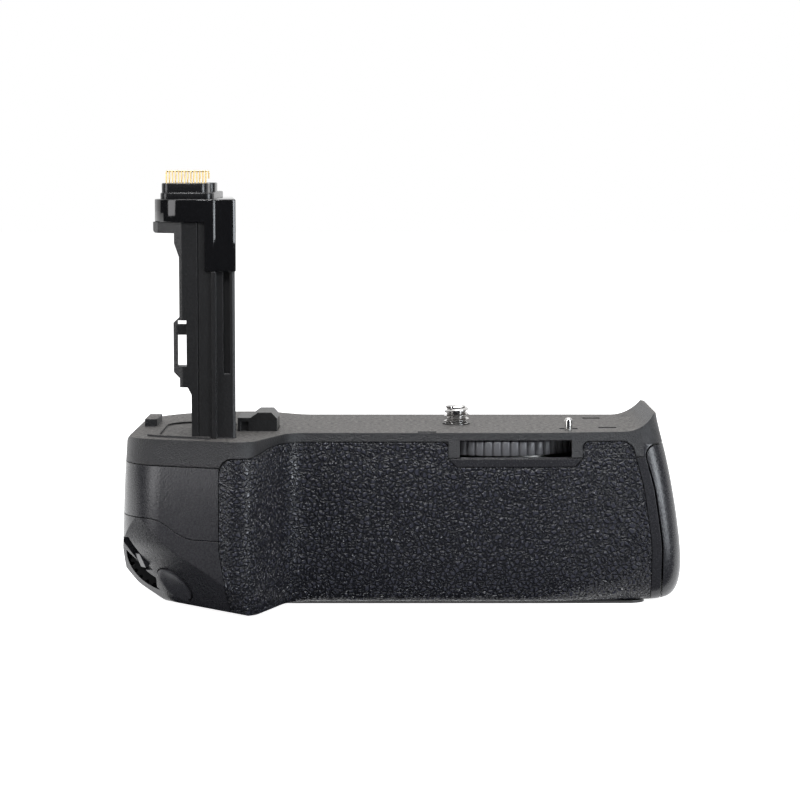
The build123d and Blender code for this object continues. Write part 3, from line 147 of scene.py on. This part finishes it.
dark_cloth = bpy.data.materials.new("dark_cloth")
dark_cloth.use_nodes = True
tree = dark_cloth.node_tree
tree.nodes.remove(tree.nodes["Principled BSDF"])
dim = node(tree, "Emission", {"Color": cloth_colour, "Strength": 1.0})
tree.links.new(dim.outputs[0], tree.nodes["Material Output"].inputs["Surface"])
flag_mesh.materials.append(dark_cloth)
card = bmesh.new()
card_corners = ((-flag_radius, card_back), (-flag_radius, -flag_radius),
                (flag_radius, -flag_radius), (flag_radius, card_back))
card.faces.new([card.verts.new((x, y, floor_level + card_lift)) for x, y in card_corners])
card_mesh = bpy.data.meshes.new("dark_card")
card.to_mesh(card_mesh)
dark_card = bpy.data.objects.new("dark_card", card_mesh)
scene.collection.objects.link(dark_card)
card_mesh.materials.append(dark_cloth)
for cloth in (dark_flag, dark_card):
    cloth.visible_camera = False
    cloth.visible_diffuse = False
    cloth.visible_shadow = False
    cloth.visible_transmission = False

softboxes = (
    # name, place, width, height, watts, colour
    ("left_softbox", (-0.655, -0.370, 0.17), 0.25, 0.80, 2.7, (0.99, 0.985, 1.0)),
    ("right_softbox", (0.80, -0.58, 0.18), 0.30, 0.70, 7.5, (0.90, 0.95, 1.0)),
    ("top_softbox", (0.0, 0.16, 0.95), 0.90, 0.50, 5.0, (1.0, 1.0, 1.0)),
    ("front_softbox", (-0.10, -0.80, 0.95), 0.50, 0.14, 11.0, (0.97, 0.98, 1.0)),
)
aim = Vector((-0.015, 0, 0))
for name, place, width, height, watts, colour in softboxes:
    lamp = bpy.data.lights.new(name, "AREA")
    lamp.shape = "RECTANGLE"
    lamp.size = width
    lamp.size_y = height
    lamp.energy = watts
    lamp.color = colour
    softbox = bpy.data.objects.new(name, lamp)
    softbox.location = place
    softbox.rotation_euler = (Vector(place) - aim).to_track_quat("Z", "Y").to_euler()
    softbox.visible_camera = False
    scene.collection.objects.link(softbox)

# Lower housing, control housing and side panel. Glass-filled nylon, moulded in
# three shells, with a fine spark-eroded grain; they meet in thin joint lines.


def surface(name, **plain):
    """A new material and its shader, with the plain sockets set."""
    made = bpy.data.materials.new(name)
    made.use_nodes = True
    shader = made.node_tree.nodes["Principled BSDF"]
    for socket, value in plain.items():
        shader.inputs[socket.replace("_", " ")].default_value = value
    return made, shader


def new_group(name, numbers, outputs):
    """A new node group with number inputs, and its input and output nodes."""
    group = bpy.data.node_groups.new(name, "ShaderNodeTree")
    for label, value in numbers.items():
        group.interface.new_socket(label, in_out="INPUT", socket_type="NodeSocketFloat").default_value = value
    for label in outputs:
        group.interface.new_socket(label, in_out="OUTPUT", socket_type="NodeSocketFloat")
    return group, group.nodes.new("NodeGroupInput"), group.nodes.new("NodeGroupOutput")


# Grain: small rounded pits and grains of one size, and slow changes of tone
fine_grains = 2600
grain_group, given, result = new_group("moulded_grain", {"Grains per metre": fine_grains}, ("Height", "Tone"))
place = node(grain_group, "TexCoord").outputs["Object"]
fine = node(grain_group, "TexNoise", {"Vector": place, "Scale": given.outputs[0], "Detail": 2.0,
                                      "Roughness": 0.65})
slow = node(grain_group, "TexNoise", {"Vector": place, "Scale": 45.0, "Detail": 3.0})
lift = node(grain_group, "MapRange", {"Value": fine.outputs[0], "From Min": 0.30, "From Max": 0.72})
tone = node(grain_group, "Mix", {0: 0.35, 2: fine.outputs[0], 3: slow.outputs[0]})
grain_group.links.new(lift.outputs[0], result.inputs["Height"])
grain_group.links.new(tone.outputs[0], result.inputs["Tone"])


smoother, duller = 0.05, 0.06


def moulded(name, colour, roughness, grains=fine_grains, relief=0.00003, edge=0.00025, spread=0.25):
    """Moulded plastic: its grain, its rounded edges and a slight unevenness."""
    made, shader = surface(name)
    tree = made.node_tree
    grain = node(tree, "Group", node_tree=grain_group)
    grain.inputs[0].default_value = grains
    dark = [part * (1 - spread) for part in colour] + [1]
    pale = [part * (1 + spread) for part in colour] + [1]
    shade = node(tree, "Mix", {0: grain.outputs["Tone"], 6: dark, 7: pale}, data_type="RGBA")
    dull = node(tree, "MapRange", {"Value": grain.outputs["Tone"], "From Min": 0.3, "From Max": 0.7,
                                   "To Min": roughness - smoother, "To Max": roughness + duller})
    rim = node(tree, "Bevel", {"Radius": edge}, samples=4)
    bump = node(tree, "Bump", {"Distance": relief, "Height": grain.outputs["Height"],
                               "Normal": rim.outputs[0]})
    tree.links.new(shade.outputs[2], shader.inputs["Base Color"])
    tree.links.new(dull.outputs[0], shader.inputs["Roughness"])
    tree.links.new(bump.outputs[0], shader.inputs["Normal"])
    return made


def dress(material, *names):
    """Gives CAD nodes their finish."""
    for name in names:
        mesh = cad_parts[name].data
        mesh.materials.clear()
        mesh.materials.append(material)


housing_plastic = moulded("housing_plastic", (0.0165, 0.0165, 0.0190), 0.26, grains=2300,
                          relief=0.000022, spread=0.6)
dress(housing_plastic, "lower_housing", "control_housing", "side_panel")

# Base plate: black-painted steel sheet held by four countersunk screws, with a
# moulded rubber pad round the tripod socket, which is a turned steel insert.


def metal(name, colour, roughness, scratches=900, spread=0.08):
    """Bare or painted metal with fine marks in its polish."""
    made, shader = surface(name, Metallic=1.0)
    tree = made.node_tree
    place = node(tree, "TexCoord").outputs["Object"]
    marks = node(tree, "TexNoise", {"Vector": place, "Scale": scratches, "Detail": 4.0, "Distortion": 0.6})
    dull = node(tree, "MapRange", {"Value": marks.outputs[0], "From Min": 0.3, "From Max": 0.7,
                                   "To Min": roughness * 0.8, "To Max": roughness * 1.25})
    dark = [part * (1 - spread) for part in colour] + [1]
    shade = node(tree, "Mix", {0: marks.outputs[0], 6: dark, 7: [*colour, 1]}, data_type="RGBA")
    tree.links.new(shade.outputs[2], shader.inputs["Base Color"])
    tree.links.new(dull.outputs[0], shader.inputs["Roughness"])
    return made


black_paint = moulded("black_paint", (0.009, 0.009, 0.0095), 0.35, grains=1800, relief=0.00002, edge=0.00015)
pad_rubber = moulded("pad_rubber", (0.009, 0.009, 0.0095), 0.62, grains=1400, relief=0.00006)
socket_steel = metal("socket_steel", (0.62, 0.61, 0.59), 0.28)
dress(black_paint, "base_plate", "base_screws")
dress(pad_rubber, "base_pad")
dress(socket_steel, "tripod_socket")

# Front and rear grip skins. Soft rubber sheets with a pressed leather grain,
# glued into recesses; the pebbles are flat on top, with creases between them.
# The creases are painted much darker than the pebbles, a painted shade.
pebbles_per_metre = 880
leather_relief = 0.0008
crease_painted_shade = (0.0072, 0.0075, 0.0100, 1)
pebble_colour = (0.0265, 0.0272, 0.0360, 1)
crease_roughness, pebble_roughness = 0.28, 0.18
leather_group, given, result = new_group("leather_grain", {"Pebbles per metre": pebbles_per_metre},
                                         ("Height", "Crease"))
place = node(leather_group, "TexCoord").outputs["Object"]
wander = node(leather_group, "TexNoise", {"Vector": place, "Scale": 520.0, "Detail": 2.0})
shift = node(leather_group, "MixRGB", {"Fac": 0.0016, "Color1": place, "Color2": wander.outputs["Color"]})
pebbles = node(leather_group, "TexVoronoi", {"Vector": shift.outputs[0], "Scale": given.outputs[0]},
               feature="DISTANCE_TO_EDGE")
crown = node(leather_group, "MapRange", {"Value": pebbles.outputs["Distance"], "From Min": 0.02,
                                         "From Max": 0.26}, interpolation_type="SMOOTHSTEP")
wrinkles = node(leather_group, "TexNoise", {"Vector": shift.outputs[0], "Scale": 1500.0, "Detail": 2.0})
height = node(leather_group, "Mix", {0: 0.12, 2: crown.outputs[0], 3: wrinkles.outputs[0]})
leather_group.links.new(height.outputs[0], result.inputs["Height"])
leather_group.links.new(crown.outputs[0], result.inputs["Crease"])

grip_rubber, shader = surface("grip_rubber")
tree = grip_rubber.node_tree
leather = node(tree, "Group", node_tree=leather_group)
leather.inputs[0].default_value = pebbles_per_metre
# Painted shade: the creases are coloured darker than the pebbles' own rubber colour
shade = node(tree, "Mix", {0: leather.outputs["Crease"], 6: crease_painted_shade, 7: pebble_colour},
             data_type="RGBA")
dull = node(tree, "MapRange", {"Value": leather.outputs["Crease"], "To Min": crease_roughness,
                               "To Max": pebble_roughness})
rim = node(tree, "Bevel", {"Radius": 0.0004}, samples=4)
bump = node(tree, "Bump", {"Distance": leather_relief, "Height": leather.outputs["Height"],
                           "Normal": rim.outputs[0]})
tree.links.new(shade.outputs[2], shader.inputs["Base Color"])
tree.links.new(dull.outputs[0], shader.inputs["Roughness"])
tree.links.new(bump.outputs[0], shader.inputs["Normal"])
dress(grip_rubber, "front_grip_skin", "rear_grip_skin")

# Top cover. Its seat has a coarse pressed grain that the camera stands on; the
# rim and the skirt round it are as smooth as the housings. The seat's upward
# faces are painted far paler than the rim, a painted sheen of light grazing the
# top, with painted highlights on its grains and painted shade in the hollows.
coarse_grains = 1000
seat_relief = 0.00034
seat_hollow_painted_shade, seat_grain_painted_sheen = (0.004, 0.0038, 0.0036, 1), (0.160, 0.150, 0.141, 1)
rim_hollow, rim_grain = (0.007, 0.007, 0.0080, 1), (0.014, 0.014, 0.0160, 1)
rim_roughness, seat_roughness = 0.42, 0.60
seat_plastic, shader = surface("seat_plastic")
tree = seat_plastic.node_tree
smooth = node(tree, "Group", node_tree=grain_group)
smooth.inputs[0].default_value = fine_grains
coarse = node(tree, "Group", node_tree=grain_group)
coarse.inputs[0].default_value = coarse_grains
facing = node(tree, "SeparateXYZ", {0: node(tree, "TexCoord").outputs["Normal"]})
on_top = node(tree, "MapRange", {"Value": facing.outputs["Z"], "From Min": 0.75, "From Max": 0.95})
height = node(tree, "Mix", {0: on_top.outputs[0], 2: smooth.outputs["Height"], 3: coarse.outputs["Height"]})
deep = node(tree, "MapRange", {"Value": on_top.outputs[0], "To Min": 0.25, "To Max": 1.0})
scaled = node(tree, "Math", {0: height.outputs[0], 1: deep.outputs[0]}, operation="MULTIPLY")
rim_shade = node(tree, "Mix", {0: smooth.outputs["Tone"], 6: rim_hollow, 7: rim_grain}, data_type="RGBA")
# Painted light on the seat: pale painted sheen on the grains, painted shade in the hollows between them
seat_painted_sheen_and_shade = node(tree, "Mix", {0: coarse.outputs["Height"], 6: seat_hollow_painted_shade, 7: seat_grain_painted_sheen}, data_type="RGBA")
# Upward faces get the pale painted sheen; the rim and skirt keep the plastic's own colour
shade = node(tree, "Mix", {0: on_top.outputs[0], 6: rim_shade.outputs[2], 7: seat_painted_sheen_and_shade.outputs[2]},
             data_type="RGBA")
dull = node(tree, "MapRange", {"Value": on_top.outputs[0], "To Min": rim_roughness, "To Max": seat_roughness})
rim = node(tree, "Bevel", {"Radius": 0.00035}, samples=4)
bump = node(tree, "Bump", {"Distance": seat_relief, "Height": scaled.outputs[0], "Normal": rim.outputs[0]})
tree.links.new(shade.outputs[2], shader.inputs["Base Color"])
tree.links.new(dull.outputs[0], shader.inputs["Roughness"])
tree.links.new(bump.outputs[0], shader.inputs["Normal"])
dress(seat_plastic, "top_cover")

# Attachment screw. Turned and nickel-plated steel with the rolled quarter-inch
# camera thread, a domed tip, and a plain neck and journal below the seat.


def piece(name, shape, material, body, replaced, smooth_angle=35):
    """Turns a shape drawn in millimetres into a piece that rides on a body."""
    bmesh.ops.scale(shape, vec=(0.001, 0.001, 0.001), verts=shape.verts)
    mesh = bpy.data.meshes.new(name)
    shape.to_mesh(mesh)
    shape.free()
    mesh.shade_smooth()
    mesh.set_sharp_from_angle(angle=radians(smooth_angle))
    made = bpy.data.objects.new(name, mesh)
    scene.collection.objects.link(made)
    mesh.materials.append(material)
    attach(made, body)
    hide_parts(*replaced)


def lathe(shape, profile, steps):
    """Turns a profile of (radius, height) points about the Z axis."""
    spots = [shape.verts.new((radius, 0, height)) for radius, height in profile]
    strip = [shape.edges.new(pair) for pair in zip(spots, spots[1:])]
    bmesh.ops.spin(shape, geom=spots + strip, axis=(0, 0, 1), cent=(0, 0, 0), angle=2 * pi, steps=steps,
                   use_merge=True, use_duplicate=False)
    bmesh.ops.remove_doubles(shape, verts=shape.verts, dist=0.0005)
    bmesh.ops.recalc_face_normals(shape, faces=shape.faces)


thread_pitch = 1.27
thread_crest = 3.175
thread_root = 2.48
thread_start = -0.5875
thread_foot = 0.3
screw_foot = -2.2
screw_steps = 48
neck_radius = 2.9
neck_chamfer = 0.1
journal_radius = 2.4
journal_end = -10.7
journal_chamfer = 0.15
screw_top = 4.7
tip_start = 3.5
tip_radius = 2.0
thread_turns = 5
thread_steps = 40
thread_profile = ((thread_root, 0.0), (thread_root, 0.16), (thread_crest, 0.56), (thread_crest, 0.71),
                  (thread_root, 1.11), (thread_root, thread_pitch))
shape = bmesh.new()
spots = [shape.verts.new((radius, 0, thread_start + height)) for radius, height in thread_profile]
strip = [shape.edges.new(pair) for pair in zip(spots, spots[1:])]
bmesh.ops.spin(shape, geom=spots + strip, axis=(0, 0, 1), cent=(0, 0, 0), angle=2 * pi * thread_turns,
               steps=thread_steps * thread_turns, dvec=(0, 0, thread_pitch / thread_steps),
               use_duplicate=False)
bmesh.ops.remove_doubles(shape, verts=shape.verts, dist=0.01)
for spot in shape.verts:
    reach = hypot(spot.co.x, spot.co.y)
    share = min(max((spot.co.z - tip_start) / (screw_top - tip_start), 0), 1)
    limit = tip_radius + (thread_crest - tip_radius) * (1 - share * share) ** 0.5
    if reach > limit:
        spot.co.x *= limit / reach
        spot.co.y *= limit / reach
for height, above in ((thread_foot, False), (screw_top, True)):
    bmesh.ops.bisect_plane(shape, geom=shape.verts[:] + shape.edges[:] + shape.faces[:], dist=0.0001,
                           plane_co=(0, 0, height), plane_no=(0, 0, 1), clear_outer=above,
                           clear_inner=not above)
    rims = [edge for edge in shape.edges
            if edge.is_boundary and all(abs(spot.co.z - height) < 0.001 for spot in edge.verts)]
    bmesh.ops.contextual_create(shape, geom=rims)
bmesh.ops.recalc_face_normals(shape, faces=shape.faces)
shank_profile = ((0, thread_foot), (neck_radius - neck_chamfer, thread_foot),
                 (neck_radius, thread_foot - neck_chamfer), (neck_radius, screw_foot),
                 (journal_radius, screw_foot), (journal_radius, journal_end + journal_chamfer),
                 (journal_radius - journal_chamfer, journal_end), (0, journal_end))
lathe(shape, shank_profile, screw_steps)
nickel = metal("nickel", (0.66, 0.65, 0.64), 0.14)
piece("camera_screw", shape, nickel, "attachment_screw", ["attachment_screw"])

# Screw drive. A steel pinion on the screw, held by a clip, turns with the ring
# gear; both run in the steel carrier, which three small screws hold to the seat.
plain_steel = metal("plain_steel", (0.52, 0.51, 0.50), 0.33)
dress(plain_steel, "screw_pinion", "screw_clip", "wheel_carrier", "carrier_screws")

# Locating pin. A short turned pin with a bullet-shaped tip, riveted into the
# seat by its wider shank and head.
pin_x, pin_y = 27.4, -15.6
pin_steps = 40
pin_profile = ((0, -1.8), (1.4, -1.8), (1.4, -1.3), (0.65, -1.3), (0.65, 0.3), (0.90, 0.3), (0.95, 0.36),
               (0.95, 2.35), (0.92, 2.6), (0.82, 2.84), (0.64, 3.04), (0.38, 3.16), (0.15, 3.2), (0, 3.2))
shape = bmesh.new()
lathe(shape, pin_profile, pin_steps)
bmesh.ops.translate(shape, vec=(pin_x, pin_y, 0), verts=shape.verts)
pin_steel = metal("pin_steel", (0.70, 0.69, 0.67), 0.20)
piece("bullet_pin", shape, pin_steel, "grip_body", ["locating_pin"])

# Thumbwheel. A moulded rubber tyre with sixty rounded ribs, pressed on a nylon
# ring with the gear's teeth inside it.
wheel_x, wheel_y = 10.678, -0.690
tyre_bore, tyre_reach = 19.0, 21.2
tyre_low, tyre_high = -5.8, -2.2
rib_count = 60
rib_depth = 0.7
rib_parts = 8
rib_valley = 0.30
rib_steepness = 1.35
tyre_round = 0.35
tyre_crease_angle = 50
shape = bmesh.new()
bmesh.ops.create_circle(shape, cap_ends=False, segments=rib_count * rib_parts, radius=tyre_reach)
for spot in shape.verts:
    turn = atan2(spot.co.y, spot.co.x) * rib_count / (2 * pi)
    place_on_rib = abs(turn - floor(turn) - 0.5) * 2
    rise = 1 - max(0, place_on_rib - rib_valley) / (1 - rib_valley)
    reach = tyre_reach - tyre_round - rib_depth * (1 - sin(pi / 2 * min(1, rise * rib_steepness)))
    spot.co = Vector((spot.co.x, spot.co.y, 0)).normalized() * reach
outer = shape.edges[:]
bmesh.ops.translate(shape, vec=(0, 0, tyre_low), verts=shape.verts)
# Each edge is rounded in two steps, and the wall between them is upright
small, large = 0.3 * tyre_round, 0.7 * tyre_round
upright = tyre_high - tyre_low - 2 * tyre_round
for rise, inward in ((small, -large), (large, -small), (upright, 0), (large, small), (small, large)):
    grown = bmesh.ops.extrude_edge_only(shape, edges=outer)["geom"]
    outer = [part for part in grown if isinstance(part, bmesh.types.BMEdge)]
    tops = [part for part in grown if isinstance(part, bmesh.types.BMVert)]
    for spot in tops:
        level = Vector((spot.co.x, spot.co.y, 0))
        spot.co = spot.co - level.normalized() * inward + Vector((0, 0, rise))
bore_parts = rib_count * rib_parts // 4
bore = bmesh.ops.create_circle(shape, cap_ends=False, segments=bore_parts, radius=tyre_bore)
bmesh.ops.translate(shape, vec=(0, 0, tyre_low), verts=bore["verts"])
bore_edges = [edge for edge in shape.edges if edge.is_wire]
walls = bmesh.ops.extrude_edge_only(shape, edges=bore_edges)["geom"]
bmesh.ops.translate(shape, vec=(0, 0, tyre_high - tyre_low),
                    verts=[part for part in walls if isinstance(part, bmesh.types.BMVert)])
for level in (tyre_low, tyre_high):
    rims = [edge for edge in shape.edges
            if edge.is_boundary and all(abs(spot.co.z - level) < 0.001 for spot in edge.verts)]
    bmesh.ops.bridge_loops(shape, edges=rims)
bmesh.ops.translate(shape, vec=(wheel_x, wheel_y, 0), verts=shape.verts)
bmesh.ops.recalc_face_normals(shape, faces=shape.faces)
tyre_rubber = moulded("tyre_rubber", (0.078, 0.078, 0.084), 0.34, grains=2200, relief=0.00002, edge=0.0001)
piece("ribbed_tyre", shape, tyre_rubber, "thumbwheel", ["thumbwheel_tyre"], tyre_crease_angle)
inner_plastic = moulded("inner_plastic", (0.010, 0.010, 0.0105), 0.48, grains=2000, edge=0.00015)
dress(inner_plastic, "wheel_ring_gear")

# Stalk. The hollow moulding that fills the camera's battery room, with a ridge
# down its front and a small open frame on its left edge. Its foot is screwed
# under the seat.
stalk_plastic = moulded("stalk_plastic", (0.0105, 0.0105, 0.011), 0.38, grains=2300, relief=0.00004,
                        edge=0.0003, spread=0.7)
dress(stalk_plastic, "stalk_body")
dress(plain_steel, "stalk_screws")

# Stalk cap. Polished black acrylic-like moulding that clips over the stalk's
# top and down its right side. Its corners are rounded a little.
cap_edge = 0.25
cap_edge_steps = 3


def eased(name, width, segments):
    """A copy of a CAD node in millimetres with its corners rounded a little."""
    shape = bmesh.new()
    shape.from_mesh(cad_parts[name].data)
    bmesh.ops.scale(shape, vec=(1000, 1000, 1000), verts=shape.verts)
    bmesh.ops.remove_doubles(shape, verts=shape.verts, dist=0.0005)
    bmesh.ops.dissolve_limit(shape, angle_limit=radians(0.5), verts=shape.verts, edges=shape.edges)
    corners = [edge for edge in shape.edges if edge.is_manifold and edge.calc_face_angle(0) > radians(30)]
    bmesh.ops.bevel(shape, geom=corners, offset=width, offset_type="OFFSET", segments=segments, profile=0.5,
                    affect="EDGES", clamp_overlap=True, material=-1)
    return shape


gloss_black, shader = surface("gloss_black", IOR=1.5)
tree = gloss_black.node_tree
place = node(tree, "TexCoord").outputs["Object"]
ripple = node(tree, "TexNoise", {"Vector": place, "Scale": 160.0, "Detail": 1.0})
specks = node(tree, "TexNoise", {"Vector": place, "Scale": 2500.0, "Detail": 2.0})
shade = node(tree, "Mix", {0: specks.outputs[0], 6: (0.003, 0.003, 0.003, 1), 7: (0.006, 0.006, 0.007, 1)},
             data_type="RGBA")
dull = node(tree, "MapRange", {"Value": specks.outputs[0], "To Min": 0.04, "To Max": 0.10})
rim = node(tree, "Bevel", {"Radius": 0.0003}, samples=4)
bump = node(tree, "Bump", {"Distance": 0.00001, "Height": ripple.outputs[0], "Normal": rim.outputs[0]})
tree.links.new(shade.outputs[2], shader.inputs["Base Color"])
tree.links.new(dull.outputs[0], shader.inputs["Roughness"])
tree.links.new(bump.outputs[0], shader.inputs["Normal"])
piece("stalk_top_cap", eased("stalk_cap", cap_edge, cap_edge_steps), gloss_black, "grip_body",
      ["stalk_cap"])

# Connector block on the cap. Satin moulding with rounded ends, in two steps,
# with a lower rear part.


def rounded_box(shape, low, high, corner, rim):
    """A box with rounded upright corners and a softened top rim."""
    made = bmesh.ops.create_cube(shape, size=1)["verts"]
    size = Vector(high) - Vector(low)
    bmesh.ops.scale(shape, vec=size, verts=made)
    bmesh.ops.translate(shape, vec=(Vector(low) + Vector(high)) / 2, verts=made)
    sides = {edge for spot in made for edge in spot.link_edges
             if abs(edge.verts[0].co.z - edge.verts[1].co.z) > size.z / 2}
    rounded = bmesh.ops.bevel(shape, geom=list(sides), offset=corner, offset_type="OFFSET", segments=6,
                              profile=0.5, affect="EDGES", clamp_overlap=True, material=-1)
    faces = {face for spot in rounded["verts"] for face in spot.link_faces}
    tops = {edge for face in faces for edge in face.edges
            if all(abs(spot.co.z - high[2]) < 0.001 for spot in edge.verts)}
    bmesh.ops.bevel(shape, geom=list(tops), offset=rim, offset_type="OFFSET", segments=2, profile=0.5,
                    affect="EDGES", clamp_overlap=True, material=-1)


satin_black = moulded("satin_black", (0.007, 0.007, 0.0075), 0.26, grains=1600, relief=0.000006, edge=0.0002)
connector_rim = 0.25
connector_parts = (
    # lowest corner, highest corner, radius of the upright corners
    ((-71.85, -30.8, 57.3), (-58.9, 4.0, 58.8), 2.4),
    ((-71.6, -30.0, 58.6), (-60.3, -19.0, 61.1), 2.3),
    ((-70.7, -20.0, 58.6), (-59.3, -11.0, 61.1), 1.6),
)
shape = bmesh.new()
for low, high, corner in connector_parts:
    rounded_box(shape, low, high, corner, connector_rim)
piece("connector_shell", shape, satin_black, "grip_body", ["connector_block"])
dress(satin_black, "contact_block")

# Contacts. Fourteen gold-plated spring wires in two rows, each bent over at its
# tip; flat gold-plated blades make contact in the bay and on the magazine.
gold = metal("gold", (0.92, 0.70, 0.34), 0.38, scratches=2500)
wire_radius = 0.21
wire_foot = 60.6
wire_head = 63.65
bow = 0.38
wires_in_row = 7
wire_pitch = 1.467
wire_rows = ((-27.75, -70.45), (-24.25, -70.05))
wire_line = ((0, wire_foot), (0, wire_head - 0.2), (0.06, wire_head + 0.2), (bow, wire_head + 0.4),
             (2 * bow - 0.06, wire_head + 0.2), (2 * bow, wire_head - 0.2), (2 * bow, wire_head - 1.5))
shape = bmesh.new()
for row, start in wire_rows:
    for index in range(wires_in_row):
        x = start + index * wire_pitch
        line = bpy.data.curves.new("wire", "CURVE")
        line.dimensions = "3D"
        run = line.splines.new("NURBS")
        run.points.add(len(wire_line) - 1)
        for point, (along, up) in zip(run.points, wire_line):
            point.co = (x + along, row, up, 1)
        run.order_u = 3
        run.use_endpoint_u = True
        line.bevel_depth = wire_radius
        line.bevel_resolution = 2
        line.use_fill_caps = True
        line.resolution_u = 5
        carrier = bpy.data.objects.new("wire", line)
        scene.collection.objects.link(carrier)
        bent = bpy.data.meshes.new_from_object(carrier)
        shape.from_mesh(bent)
        bpy.data.objects.remove(carrier)
        bpy.data.meshes.remove(bent)
piece("spring_contacts", shape, gold, "grip_body", ["contact_pins"])
dress(gold, "bay_blades", "magazine_contacts")

# Door block. A raised block beside the stalk, moulded in the same plastic and
# set in a pocket of the seat. It fills the opening of the camera's battery door.
dress(stalk_plastic, "door_block")

# Finger controls: the shutter button, a toothed dial on its steel axle, the
# power switch in its slot, and three round keys at the back.
control_plastic = moulded("control_plastic", (0.028, 0.028, 0.032), 0.28, grains=1800, relief=0.000008,
                          edge=0.0003)
dial_plastic = moulded("dial_plastic", (0.009, 0.009, 0.0095), 0.36, grains=1800, relief=0.00001,
                       edge=0.00015)
dress(control_plastic, "shutter_button", "power_switch", "focus_start_button", "exposure_lock_button",
      "focus_point_button")
dress(dial_plastic, "main_dial")
dress(plain_steel, "dial_axle")
dress(inner_plastic, "shutter_switch", "key_switches")

# Magazine. A nylon tray for two cells with sprung catches; its end cap closes
# the grip, and a quarter-turn knob with a steel cam locks it.
dress(housing_plastic, "magazine_end_cap")
dress(inner_plastic, "magazine_frame")
dress(control_plastic, "lock_knob", "upper_cell_catch", "lower_cell_catch")
dress(plain_steel, "lock_cam")

# Electronics. Glass-epoxy boards with solder mask over the tracks, moulded
# chips, and a flat polyimide cable that runs up the stalk.
board_green, shader = surface("board_green", Roughness=0.35)
tree = board_green.node_tree
place = node(tree, "TexCoord").outputs["Object"]
tracks = node(tree, "TexBrick", {"Vector": place, "Scale": 260.0, "Color1": (0.010, 0.075, 0.030, 1),
                                 "Color2": (0.014, 0.095, 0.040, 1), "Mortar": (0.030, 0.150, 0.060, 1),
                                 "Mortar Size": 0.05})
grain = node(tree, "Group", node_tree=grain_group)
grain.inputs[0].default_value = 900
shade = node(tree, "Mix", {0: grain.outputs["Tone"], 6: (0.008, 0.060, 0.025, 1), 7: tracks.outputs["Color"]},
             data_type="RGBA")
bump = node(tree, "Bump", {"Distance": 0.00003, "Height": tracks.outputs["Fac"]})
tree.links.new(shade.outputs[2], shader.inputs["Base Color"])
tree.links.new(bump.outputs[0], shader.inputs["Normal"])
ribbon_film, shader = surface("ribbon_film", Roughness=0.30)
tree = ribbon_film.node_tree
place = node(tree, "TexCoord").outputs["Object"]
lines = node(tree, "TexWave", {"Vector": place, "Scale": 300.0}, bands_direction="Y")
shade = node(tree, "Mix", {0: lines.outputs["Fac"], 6: (0.26, 0.11, 0.022, 1), 7: (0.42, 0.21, 0.05, 1)},
             data_type="RGBA")
tree.links.new(shade.outputs[2], shader.inputs["Base Color"])
dress(board_green, "power_board", "key_board")
dress(inner_plastic, "board_chips")
dress(ribbon_film, "ribbon_cable")
